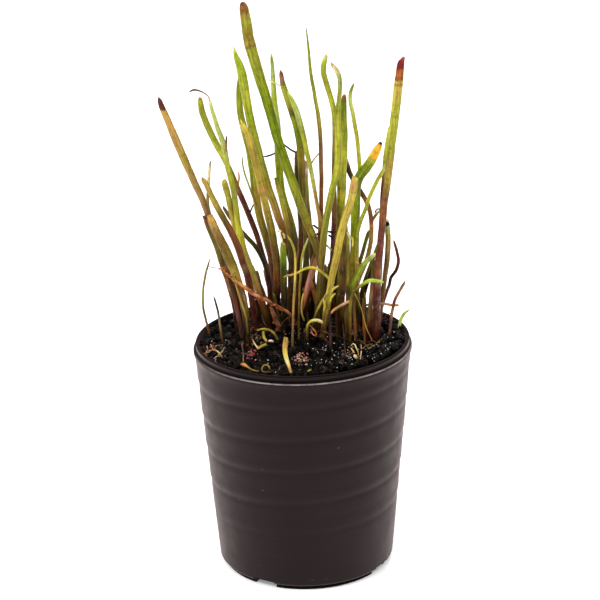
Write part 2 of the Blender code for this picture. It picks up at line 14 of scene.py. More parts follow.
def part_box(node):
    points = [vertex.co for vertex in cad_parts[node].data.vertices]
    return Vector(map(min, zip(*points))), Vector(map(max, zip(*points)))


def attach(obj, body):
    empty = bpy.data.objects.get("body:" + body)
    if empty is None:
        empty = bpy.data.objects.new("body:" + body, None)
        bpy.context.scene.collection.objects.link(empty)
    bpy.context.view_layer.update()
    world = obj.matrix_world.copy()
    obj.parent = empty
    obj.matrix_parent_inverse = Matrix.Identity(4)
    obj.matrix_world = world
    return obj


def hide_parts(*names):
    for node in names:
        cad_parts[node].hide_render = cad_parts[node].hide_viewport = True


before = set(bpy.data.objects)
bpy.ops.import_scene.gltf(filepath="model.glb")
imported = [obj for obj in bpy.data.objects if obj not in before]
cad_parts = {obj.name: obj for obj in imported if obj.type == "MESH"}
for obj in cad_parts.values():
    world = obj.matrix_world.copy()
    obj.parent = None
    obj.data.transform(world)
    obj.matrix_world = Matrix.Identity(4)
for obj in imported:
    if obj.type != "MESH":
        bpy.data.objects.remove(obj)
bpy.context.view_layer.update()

MM = 0.001
TURN = 2 * pi

# Camera: place, downward tilt, turn about the line of sight, and focal length in pixels
EYE = Vector((-0.00047, -0.6088, 0.2973))
EYE_TILT = 0.3484
EYE_ROLL = -0.0202
FOCAL_PIXELS = 2377.0
FRAME_PIXELS = 600
FRAME_CENTRE = 300.0
SENSOR_WIDTH = 36.0
AHEAD = Vector((0, cos(EYE_TILT), -sin(EYE_TILT)))
LEVEL = Vector((1, 0, 0))
RIGHT = LEVEL * cos(EYE_ROLL) + LEVEL.cross(AHEAD) * sin(EYE_ROLL)
UP = RIGHT.cross(AHEAD)

# Lights: one wide soft sun, and small area lights (name, place, size, power) for the wet glints
SUN_AIM = Vector((0.12, 0.34, -1.0))
SUN_STRENGTH = 2.2
SUN_WIDTH = radians(75)
LIGHTS = (
    ("key", (-0.60, -0.55, 0.85), 0.08, 5.6),
    ("fill", (0.60, -0.25, 0.80), 0.06, 2.0),
    ("back", (0.25, 0.75, 0.75), 0.12, 3.0),
)
LIGHT_TARGET = Vector((0, 0, 0.07))
WORLD_STRENGTH = 0.42
WHITE = (1, 1, 1, 1)
FLOOR_WHITE = (0.93, 0.93, 0.93, 1)
FLOOR_HALF_SIZE = 6.0

# Pot, in metres, as the frame holds it
POT_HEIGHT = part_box("pot")[1].z
RIM_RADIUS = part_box("pot")[1].x
SHOULDER_RADIUS = 0.02995
BASE_RADIUS = 0.0241
WALL = 0.0011
FLOOR = 0.0014
LIP_TOP = 0.0634
LIP_ROUNDING = 0.00032
LIP_UNDERSIDE = LIP_TOP - 0.0009
FLARE_START = 0.0600
FLARE_CURVE = 2.2
RING_RADIUS = 0.0293
RING_THICKNESS = 0.0009
RIM_TILT = 0.0116
FOOT_RADIUS = 0.0229
FOOT_HEIGHT = 0.0013
CORNER = 0.0010
SIDE_FOOT = FOOT_HEIGHT + CORNER
CORNER_END = radians(20)
POT_SEGMENTS = 160
SHARP_ANGLE = radians(40)
SIDE_LUMPS = 0.00006
SIDE_LUMP_WAVES = Vector((2, 2, 60))

# Winding groove in the pot's side: it rises to the right by one pitch each turn
GROOVE_PITCH = 0.00952
GROOVE_FRONT = 0.0556
GROOVE_LOWEST = 0.0135
GROOVE_HIGHEST = FLARE_START + 0.0012
GROOVE_FADE = 0.002
GROOVE_DEPTH = 0.00016
GROOVE_HALF_WIDTH = 0.0010
RIDGE_HEIGHT = 0.00008
RIDGE_HALF_WIDTH = 0.0015
RIDGE_OFFSET = 0.0021

# Drain holes in the floor and drain slots in the bottom edge, as in the frame
HOLE_COUNT = 5
HOLE_RADIUS = 0.0022
HOLE_CIRCLE = 0.0140
HOLE_FIRST_ANGLE = radians(17)
SLOT_COUNT = 4
SLOT_FIRST_ANGLE = radians(-30)
SLOT_SIZE = (0.0066, 0.0070, 0.0044)

# Grit. Granules: name, seed, how many, least and greatest half size in millimetres, lift over the ground
SOIL_TOP = 0.0633
SOIL_SLOPE_ACROSS = 0.035
SOIL_SLOPE_BACK = -0.04
BED_DROP = 0.0012
BED_GAP = 0.0002
BED_BOTTOM = SIDE_FOOT + 0.0003
BED_RINGS = 26
BED_SEGMENTS = 96
BED_KIND = 0.3
GROUND_LUMPS = 0.0005
GRANULES = (
    ("grit_granules_low", 11, 330, 1.20, 1.90, 0.10),
    ("grit_granules_mid", 12, 260, 0.95, 1.60, 0.75),
    ("grit_granules_top", 13, 190, 0.60, 1.25, 1.45),
    ("grit_granules_fine", 14, 420, 0.25, 0.55, 1.30),
)
CLOSEST_GRANULES = 0.82
TRIES_FOR_EACH = 40
HEAP_AT_EDGE = 0.0013
HEAP_RIGHT = 0.0009
HEAP_LEFT_BACK = 0.0012
# Painted glints: white specks on the granules' tops, mostly on the right: how many, half sizes in
# millimetres, share on the right
GLINTS = 320
GLINT_HALF_SIZES = (0.05, 0.19)
GLINTS_ON_RIGHT = 0.65
BEAD = (387, 224, 2.3)
BEAD_LIFT = 0.9 * MM

# Leaves
CAD_SIDES = 6
ROOTED = 0.0022
RING_SPACING = 0.00036
FEWEST_RINGS = 8
LEAF_SIDES = 14
LEAF_THICKNESS = 0.80
SEPTUM_HALF_WIDTH = 0.00040
SEPTUM_PINCH = 0.03
SWELL = 0.00012
THREAD_SWELL = 0.00006
FULL_SWELL_WIDTH = 0.0011
THINNEST = 0.00013
STEADY_END = 3 * MM
TEAR_REACH = 2.4
TEAR_DEPTH = 1.5
CUT_SLANT = 0.35
DISH_DEPTH = 0.55
DISH_WIDTH = 0.62
TINT_SHARE = 0.92

# Waves along a leaf: their own channel of the noise, their size and how many there are in a metre
Wave = namedtuple("Wave", "channel size in_metre")
WANDER = Wave(0, 0.00011, 180)
PINCH = Wave(7, 0.05, 300)
CRUMPLED_WANDER = Wave(3, 0.00050, 420)
CRUMPLED_PINCH = Wave(9, 0.75, 640)
CRUMPLED_TWIST = Wave(5, 2.2, 200)
FOLD_WAVES = 500

# Patterns of noise on a surface: stretch, fineness, detail and roughness of the noise, the values of the
# noise where the pattern starts and is full, and what it gives there
Pattern = namedtuple("Pattern", "stretch fineness detail roughness start full least most",
                     defaults=(0.0, 1.0, 0.0, 1.0))
EVEN = (1, 1, 1)
STRAY_TINT = Pattern((1, 1, 0.22), 1.5, 3, 0.55)
STREAKS = Pattern((1, 1, 0.07), 1.7, 3, 0.62, 0.32, 0.68, 0.60, 1.20)
MOTTLE = Pattern((1, 1, 0.50), 1.5, 4, 0.65, 0.46, 0.66, 0, 0.40)
PALE_AREAS = Pattern((1, 1, 0.30), 1.2, 3, 0.55, 0.54, 0.74, 0, 0.20)
SPOTS = Pattern((1, 1, 0.60), 1.3, 4, 0.60, 0.58, 0.68)
RUSTY_FIBRES = Pattern((1, 1, 0.05), 2.6, 3, 0.70, 0.54, 0.68, 0, 0.50)
SOOTY_FIBRES = Pattern((1, 1, 0.05), 2.6, 3, 0.70, 0.48, 0.34, 0, 0.75)
LEAF_SATIN = Pattern((1, 1, 0.22), 2.0, 3, 0.55, 0.30, 0.70, 0.34, 0.55)
LEAF_GRAIN = Pattern((1, 1, 0.12), 3.2, 4, 0.60)
WATER_DROPS = Pattern((1, 1, 0.55), 1.9, 3, 0.62)
WATER_FILM = Pattern((1, 1, 0.45), 1.1, 3, 0.60, 0.50, 0.60)
POT_CLOUDS = Pattern(EVEN, 60, 4, 0.55, 0.35, 0.70)
POT_STREAKS = Pattern((30, 30, 1500), 1, 3, 0.55, 0.50, 0.80, 0, 0.30)
POT_SCUFFS = Pattern((400, 400, 900), 1, 2, 0.55, 0.73, 0.80, 0, 0.35)
POT_SATIN = Pattern(EVEN, 240, 4, 0.55, 0.30, 0.70, 0.38, 0.50)
POT_GRAIN = Pattern(EVEN, 5200, 2, 0.55)
# Patches that break up the painted highlight on the lip
LIP_HIGHLIGHT_PATCHES = Pattern(EVEN, 420, 3, 0.55, 0.30, 0.60, 0.45, 1.00)
GRIT_GRAINS = Pattern(EVEN, 900, 4, 0.55, 0.58, 0.75, 0, 0.30)
GRIT_SATIN = Pattern(EVEN, 500, 3, 0.55, 0.38, 0.64, 0.25, 0.55)
GRIT_LUMPS = Pattern(EVEN, 900, 4, 0.60)
GRIT_WATER = Pattern(EVEN, 420, 2, 0.55, 0.56, 0.64, 0, 0.22)
GRIT_DROPS = Pattern(EVEN, 1500, 3, 0.55)
CRUMB_DIRT = Pattern(EVEN, 1300, 4, 0.55, 0.42, 0.60)
CRUMB_SATIN = Pattern(EVEN, 1500, 2, 0.55, 0.35, 0.65, 0.16, 0.50)
CRUMB_GRAIN = Pattern(EVEN, 3000, 3, 0.55)

# Linear colours that the patterns bring in
MOTTLE_BROWN = (0.50, 0.34, 0.05, 1)
PALE_YELLOW = (0.46, 0.42, 0.08, 1)
# Painted shade that darkens the lower stems towards their feet
FOOT_SHADE_BROWN = (0.16, 0.11, 0.10, 1)
WALL_OLIVE = (0.36, 0.32, 0.10, 1)
STREAK_BLACK = (0.017, 0.0115, 0.011, 1)
SCUFF_GREY = (0.16, 0.13, 0.12, 1)
# Painted shade inside the pot, on the ring's top and in the groove under the ring
RIM_SHADE_BLACK = (0.0015, 0.0012, 0.0012, 1)
# Painted highlight on the pot's lip edge
LIP_HIGHLIGHT_GREY = (0.20, 0.175, 0.17, 1)
GRIT_BROWN = (0.009, 0.007, 0.006)
GRIT_DUN = (0.012, 0.009, 0.007, 1)
GRIT_PALE = (0.026, 0.018, 0.014, 1)
GRAIN_BROWN = (0.030, 0.021, 0.017, 1)
DIRT_BROWN = (0.10, 0.05, 0.04, 1)
PLASTIC_GLOSS_TINT = (1.0, 0.76, 0.76, 1)
PLASTIC_SHEEN_TINT = (1.0, 0.58, 0.58, 1)
GRIT_GLOSS_TINT = (1.0, 0.84, 0.74, 1)

PALETTE = {
    "wet black": (13, 11, 11),
    "charcoal": (42, 33, 33),
    "black": (24, 17, 12),
    "soot": (46, 32, 20),
    "dark brown": (68, 46, 20),
    "brown": (116, 84, 36),
    "red brown": (134, 78, 38),
    "rust": (170, 92, 36),
    "orange tan": (212, 142, 76),
    "orange": (236, 170, 50),
    "amber": (252, 196, 60),
    "salmon": (222, 138, 98),
    "pink": (226, 168, 144),
    "magenta": (160, 34, 60),
    "rose": (206, 104, 108),
    "crimson": (148, 38, 34),
    "blood": (112, 24, 20),
    "maroon": (100, 45, 32),
    "dark maroon": (70, 28, 22),
    "plum": (98, 40, 40),
    "mauve": (152, 112, 76),
    "tan": (188, 146, 74),
    "dun": (154, 122, 64),
    "olive tan": (162, 138, 52),
    "ochre": (188, 164, 62),
    "straw": (204, 186, 78),
    "cream": (228, 212, 146),
    "ivory": (240, 230, 196),
    "white": (252, 250, 246),
    "yellow": (206, 196, 50),
    "yellow green": (176, 176, 52),
    "pale green": (180, 190, 104),
    "lime": (164, 186, 68),
    "fresh green": (152, 166, 40),
    "green": (136, 148, 20),
    "deep green": (110, 128, 8),
    "dark green": (74, 88, 16),
    "green olive": (150, 152, 42),
    "olive": (140, 122, 32),
    "olive brown": (116, 96, 30),
    "dark olive": (84, 76, 20),
    "grey": (134, 122, 104),
    "dark grey": (76, 66, 56),
}

# How a leaf looks. slot is the record's finish; tip is point, round, cut, ragged or dry; tints run from
# the tip to the foot, each a pixel down the photo and a colour; septa is the mean space between cross
# walls in millimetres, none if 0; blotch and crease are how spotted and how wrinkled the skin is. Tints
# that start at 0 give shares of the leaf's length instead of pixels.
# The soot and black tints near the feet are partly painted shade deep in the clump and partly the stems' own
# dark colour.
Look = namedtuple("Look", "name slot tip septa blotch crease tints")

LOOKS = (
    Look("tall_leaf", "green_leaf", "round", 3.4, 0.75, 0.02,
         "2 maroon, 7 red brown, 10 brown, 15 olive tan, 22 green olive, 30 olive, 36 olive, "
         "44 olive tan, 46.5 olive brown, 49 green olive, 62 green olive, 85 green, 110 deep green, "
         "143 deep green, 165 green, 200 green olive, 228 olive, 250 olive brown, 280 brown, "
         "300 dark olive, 335 soot"),
    Look("far_left_leaf", "tan_leaf", "point", 4.2, 0.35, 0.05,
         "97 dark maroon, 106 maroon, 108.5 dark brown, 110 tan, 118 tan, 122 tan, 140 tan, "
         "157 olive tan, 176 dun, 200 dun, 214 mauve, 232 dun, 248 brown, 265 brown, 285 dark brown, "
         "333 soot"),
    # The mauve at 286 is a painted highlight on the stem
    Look("dark_left_stub", "maroon_stem", "cut", 5, 0.5, 0.06,
         "216 dark maroon, 220 red brown, 229 olive brown, 240 olive brown, 252 olive brown, 263 brown, "
         "275 red brown, 286 mauve, 295 maroon, 312 dark maroon, 335 soot"),
    # The mauve at 297 is a painted highlight on the stem
    Look("tan_left_stem", "olive_leaf", "cut", 3.2, 0.6, 0.06,
         "216 tan, 219 tan, 227 dun, 238 brown, 251 olive brown, 262 olive brown, 273 olive tan, "
         "284 red brown, 291 brown, 297 mauve, 303 olive brown, 312 brown, 325 dark brown, 340 soot, "
         "348 soot"),
    # The mauve at 267 stands for wet glints on the stem, a painted highlight
    Look("slim_left_stem", "red_brown_stem", "dry", 4, 0.5, 0.05,
         "177 tan, 179 tan, 192 olive tan, 204 olive tan, 216 olive brown, 229 red brown, 241 red brown, "
         "254 red brown, 261 maroon, 267 mauve, 273 plum, 281 maroon, 292 plum, 302 maroon, 312 plum, "
         "321 maroon, 334 dark maroon"),
    Look("clear_tip_shoot", "cream_root", "dry", 2.4, 0.5, 0.1,
         "160 dark grey, 163 grey, 167 ivory, 178 cream, 188 olive tan, 205 olive tan, 219 tan, "
         "232 brown, 245 red brown, 258 brown, 272 tan, 286 brown, 300 red brown, 314 mauve, "
         "325 dark brown"),
    Look("curved_left_leaf", "maroon_stem", "round", 3.6, 0.4, 0.03,
         "97 olive, 101 green olive, 119 green olive, 137 green olive, 155 yellow green, 170 green olive, "
         "180 olive, 190 mauve, 197 plum, 228 maroon, 245 maroon, 262 plum, 280 dark maroon, 296 maroon, "
         "306 mauve, 313 maroon, 322 dark maroon"),
    Look("curled_tip_leaf", "yellow_green_leaf", "point", 4, 0.3, 0.03,
         "99 cream, 106 pale green, 125 pale green, 145 pale green, 165 yellow green, 190 green olive, "
         "210 yellow green, 235 yellow, 255 straw, 272 ochre, 288 tan, 300 red brown, 312 brown, "
         "326 dark brown"),
    Look("cut_yellow_leaf", "yellow_green_leaf", "cut", 4, 0.3, 0.04,
         "180 straw, 184 ochre, 197 yellow green, 208 olive tan, 222 ochre, 240 yellow green, 256 ochre, "
         "268 olive, 282 brown, 300 maroon, 327 dark maroon"),
    Look("grey_tip_shoot", "olive_leaf", "dry", 4, 0.5, 0.06,
         "206 dark grey, 210 grey, 214 olive, 226 dark olive, 245 dark olive, 262 dark brown, 285 maroon, "
         "322 dark brown"),
    Look("olive_leaf", "olive_leaf", "point", 3.4, 0.35, 0.03,
         "71 olive, 76 olive, 95 green, 115 green olive, 136 green olive, 157 green, 178 green olive, "
         "198 olive tan, 218 olive, 238 olive brown, 255 red brown, 280 maroon, 320 dark maroon"),
    Look("pointed_green_leaf", "green_leaf", "point", 3.6, 0.3, 0.02,
         "46 pale green, 56 fresh green, 76 fresh green, 96 yellow green, 116 green, 143 green olive, "
         "166 green olive, 185 olive, 200 olive tan, 212 tan, 230 red brown, 248 maroon, 290 maroon, "
         "328 dark maroon"),
    Look("ragged_tan_leaf", "tan_leaf", "ragged", 4, 0.45, 0.07,
         "124 straw, 130 ochre, 142 ochre, 150 olive tan, 159 olive tan, 175 ochre, 187 ochre, "
         "189.5 salmon, 192 olive tan, 197 ochre, 212 olive tan, 228 olive, 243 brown, 258 brown, "
         "277 red brown, 295 dark maroon, 326 dark maroon"),
    Look("back_green_leaf", "green_leaf", "point", 3.6, 0.3, 0.02,
         "52 pale green, 75 pale green, 100 fresh green, 122 pale green, 140 green, 168 green, 190 green, "
         "212 olive, 234 dark olive, 257 dark olive, 322 black"),
    Look("dark_top_stem", "olive_leaf", "cut", 3.4, 0.5, 0.04,
         "178 dark green, 184 olive, 200 green olive, 216 olive tan, 228 olive brown, 240 dark olive, "
         "262 dark brown, 331 soot"),
    Look("brown_tip_leaf", "olive_leaf", "point", 3.2, 0.6, 0.04,
         "70 maroon, 74 red brown, 79 mauve, 84 olive brown, 88 green olive, 97 green olive, 104 olive, "
         "113 dark olive, 118 green, 134 deep green, 155 olive, 176 olive brown, 200 olive, 220 olive, "
         "240 brown, 260 dark olive, 285 dark maroon, 321 soot"),
    Look("bulging_leaf", "green_leaf", "point", 3.4, 0.3, 0.03,
         "91 yellow green, 98 lime, 115 pale green, 132 green olive, 151 yellow green, 172 pale green, "
         "191 ochre, 212 tan, 232 red brown, 250 brown, 268 red brown, 292 maroon, 312 dark maroon, "
         "330 soot"),
    Look("dark_brown_stub", "dark_brown_stem", "cut", 4.5, 0.5, 0.08,
         "151 brown, 154 olive brown, 166 dark olive, 185 dark olive, 210 dark brown, 225 brown, "
         "240 red brown, 262 dark brown, 285 dark maroon, 322 black"),
    Look("pink_top_stub", "yellow_green_leaf", "ragged", 3, 0.4, 0.05,
         "161 orange tan, 165 salmon, 169 ivory, 172 pink, 175 ochre, 180 yellow green, 195 green olive, "
         "218 olive, 243 olive brown, 270 dark olive, 325 soot"),
    Look("needle_leaf", "red_brown_stem", "point", 4.6, 0.35, 0.02,
         "28 dark green, 40 green olive, 58 green, 80 green olive, 104 green olive, 122 olive tan, "
         "145 mauve, 165 mauve, 185 red brown, 205 red brown, 230 red brown, 255 maroon, 325 dark maroon"),
    Look("bent_leaf_left", "olive_leaf", "round", 3.4, 0.35, 0.03,
         "54 cream, 62 fresh green, 79 green olive, 102 yellow green, 122 green olive, 140 olive, "
         "160 olive brown, 178 olive brown, 200 brown, 218 maroon, 260 dark maroon, 332 black"),
    Look("bent_leaf_right", "green_leaf", "dry", 3.6, 0.35, 0.03,
         "62 dark grey, 64 mauve, 67 cream, 76 pale green, 92 green olive, 109 green olive, "
         "132 yellow green, 156 yellow green, 180 yellow green, 201 green olive, 224 green olive, "
         "248 olive, 271 olive brown, 300 dark olive, 338 dark brown"),
    Look("broad_green_leaf", "green_leaf", "round", 3.0, 0.45, 0.02,
         "94 orange tan, 97 brown, 100 olive brown, 103 deep green, 116 green, 136 fresh green, "
         "150 yellow green, 170 yellow green, 188 green olive, 195 yellow, 206 green olive, 222 olive, "
         "240 olive, 265 olive brown, 290 dark brown, 332 soot"),
    Look("yellow_front_stem", "ochre_leaf", "cut", 4.4, 0.3, 0.05,
         "177 straw, 180 tan, 183 tan, 188 tan, 194 straw, 208 ochre, 221 ochre, 236 ochre, 255 ochre, "
         "277 ochre, 291 straw, 305 ochre, 316 dun, 326 brown, 336 brown"),
    Look("orange_tip_leaf", "deep_green_leaf", "round", 3.8, 0.3, 0.02,
         "142 black, 143.2 rust, 144.2 amber, 155 orange, 158.5 yellow green, 161 green, 172 deep green, "
         "186 deep green, 204 green, 221 green, 238 green, 256 olive, 271 olive, 288 olive, "
         "304 dark olive, 321 dark brown, 335 soot"),
    Look("slim_hooked_leaf", "olive_leaf", "dry", 3.4, 0.3, 0.04,
         "83 brown, 88 green olive, 98 pale green, 125 yellow green, 150 yellow green, 170 fresh green, "
         "188 olive, 210 green olive, 240 green olive, 280 olive, 308 olive brown, 326 dark brown"),
    Look("red_tip_stem", "red_brown_stem", "round", 2.8, 0.5, 0.03,
         "56.5 mauve, 60 crimson, 65 blood, 68 blood, 70.5 rust, 76 rust, 79 brown, 82 straw, 84 rust, "
         "87 straw, 96 ochre, 107 yellow green, 131 yellow green, 148 green olive, 160 olive tan, "
         "180 olive tan, 192 brown, 204 red brown, 216 red brown, 228 maroon, 242 maroon, 256 maroon, "
         "270 red brown, 285 maroon, 300 dark maroon, 325 maroon, 348 blood"),
    Look("right_strip", "olive_leaf", "point", 3.6, 0.3, 0.04,
         "124 yellow green, 145 yellow green, 165 yellow green, 180 red brown, 198 maroon, 216 red brown, "
         "240 red brown, 270 red brown, 300 maroon, 340 dark maroon"),
    Look("diagonal_shoot", "green_leaf", "point", 3.4, 0.25, 0.02,
         "159 cream, 162 pale green, 175 yellow green, 195 yellow green, 215 green olive, "
         "240 green olive, 265 ochre, 281 olive tan, 296 olive brown, 312 dark brown, 341 dark brown"),
    Look("brown_runner", "red_brown_stem", "ragged", 5, 0.5, 0.07,
         "160 mauve, 168 dark brown, 190 dark brown, 200 red brown, 212 brown, 222 red brown, 232 tan, "
         "240 tan, 252 tan, 266 ochre, 281 ochre, 296 olive tan, 312 dark brown, 341 dark brown"),
    Look("short_green_shoot", "green_leaf", "point", 3.4, 0.3, 0.03,
         "230 olive brown, 242 green, 255 olive, 279 olive, 290 olive brown, 302 brown, 333 dark brown"),
    Look("bead_stem", "tan_leaf", "cut", 2.2, 0.5, 0.06,
         "219 cream, 226 pale green, 236 olive tan, 248 dun, 258 brown, 270 mauve, 282 brown, "
         "306 red brown, 320 maroon, 336 dark maroon"),
    Look("bent_maroon_stem", "maroon_stem", "dry", 3.4, 0.5, 0.1,
         "239 mauve, 245 maroon, 256 plum, 265 maroon, 271 dark maroon, 278 soot, 286 maroon, 300 maroon, "
         "332 dark maroon"),
    Look("slim_right_stem", "red_brown_stem", "dry", 3.6, 0.5, 0.07,
         "280 dark grey, 284 grey, 292 mauve, 303 plum, 312 mauve, 322 maroon, 340 plum, 350 crimson"),
    Look("edge_sprout", "yellow_green_leaf", "round", 3, 0.2, 0.03,
         "309 cream, 311 pale green, 318 lime, 325 pale green, 331 dark green"),
    Look("level_leaf", "yellow_green_leaf", "round", 3, 0.2, 0.02,
         "0 pale green, 0.03 lime, 0.13 lime, 0.22 green, 0.30 dark olive, 0.38 dark olive, 0.5 olive, "
         "0.7 olive brown, 1 dark brown"),
    Look("green_diagonal_leaf", "green_leaf", "round", 3.6, 0.25, 0.02,
         "253 cream, 257 pale green, 264 lime, 273 fresh green, 284 fresh green, 294 dark olive, "
         "307 soot, 342 dark brown"),
    Look("olive_diagonal_leaf", "olive_leaf", "cut", 3.4, 0.4, 0.04,
         "241 pale green, 246 green olive, 256 olive tan, 266 olive, 277 dark olive, 290 dark brown, "
         "334 black"),
    Look("front_brown_stem", "olive_leaf", "cut", 3.2, 0.5, 0.06,
         "222 olive tan, 236 olive brown, 248 dark olive, 260 brown, 270 dark brown, 282 brown, "
         "294 dark brown, 306 olive brown, 320 dark brown, 344 soot"),
    Look("thin_olive_stem", "olive_leaf", "point", 3.4, 0.4, 0.05,
         "232 green olive, 246 olive, 262 olive brown, 278 olive, 290 dark brown, 304 olive brown, "
         "318 brown, 332 dark brown, 348 soot"),
    Look("thin_right_stem", "olive_leaf", "point", 3.4, 0.4, 0.05,
         "292 olive brown, 305 olive brown, 322 dark brown, 344 soot"),
    Look("thin_brown_stem", "red_brown_stem", "point", 3.4, 0.4, 0.05,
         "287 olive tan, 298 brown, 310 dark brown, 330 dark maroon, 345 soot"),
    Look("yellow_curved_stem", "ochre_leaf", "point", 4, 0.25, 0.04,
         "290 straw, 300 ochre, 318 olive tan, 328 ochre, 334 mauve, 342 orange tan, 351 mauve"),
    Look("cream_hook", "cream_root", "round", 4, 0.25, 0.04,
         "0 straw, 0.03 cream, 0.15 cream, 0.30 straw, 0.45 ochre, 0.6 olive tan, 0.8 brown, "
         "1 dark brown"),
    Look("pale_front_stem", "ochre_leaf", "dry", 4, 0.3, 0.05,
         "235 olive tan, 239 ochre, 250 olive tan, 262 ochre, 276 straw, 292 dun, 304 tan, 312 dun, "
         "322 mauve, 334 mauve, 350 brown"),
    Look("pale_thin_shoot", "yellow_green_leaf", "point", 4, 0.2, 0.04,
         "238 pale green, 255 yellow green, 275 olive tan, 305 olive brown, 341 dark brown"),
    Look("short_green_stem", "deep_green_leaf", "cut", 3.2, 0.45, 0.04,
         "243 green olive, 249 green, 258 deep green, 268 dark green, 280 dark olive, 296 soot, "
         "336 black"),
    # The pink and salmon stops are partly painted highlights, partly the strip's own salmon colour
    Look("dead_orange_strip", "orange_leaf", "dry", 0, 0.8, 0.16,
         "0 grey, 0.08 tan, 0.16 rust, 0.24 tan, 0.32 orange tan, 0.37 rust, 0.42 pink, 0.47 rust, "
         "0.53 salmon, 0.58 maroon, 0.64 rust, 0.70 salmon, 0.76 rust, 0.84 red brown, 0.92 salmon, "
         "1 maroon"),
    # The salmon and pink stops are partly painted highlights, partly the stub's own colour
    Look("orange_stub", "orange_leaf", "ragged", 0, 0.7, 0.12,
         "307 rust, 310 salmon, 314 pink, 317 rust, 321 salmon, 325 pink, 329 rust, 333 maroon"),
    # The cream round 362 is the root's own pale colour and partly a painted highlight along its middle
    Look("cream_root_stub", "cream_root", "cut", 0, 0.6, 0.12,
         "338 olive tan, 343 dun, 349 tan, 356 straw, 362 cream, 367 tan, 371 dun, 376 mauve"),
    Look("thin_left_blade", "olive_leaf", "point", 3.4, 0.3, 0.06,
         "259 dark grey, 272 olive brown, 285 olive, 298 green olive, 308 olive brown, 320 brown, "
         "330 red brown, 340 dark maroon"),
    Look("grey_left_twig", "dark_brown_stem", "dry", 3, 0.5, 0.14,
         "296 dark grey, 308 dark brown, 318 grey, 328 mauve, 341 dark brown, 349 soot"),
    Look("front_rootlet", "tan_leaf", "point", 0, 0.3, 0.07,
         "324 dark brown, 340 soot, 352 dark brown, 362 dark olive, 370 soot"),
    Look("maroon_front_stem", "maroon_stem", "cut", 3.6, 0.5, 0.06,
         "310 soot, 322 black, 338 dark maroon, 348 black, 357 black"),
)

# Small bits with no solid of their own. carrier is the leaf it grows from or lies against, or grit;
# lift is how many millimetres it starts and ends in front of the carrier; trace as pixels and a width.
Bit = namedtuple("Bit", "name carrier lift tints trace")

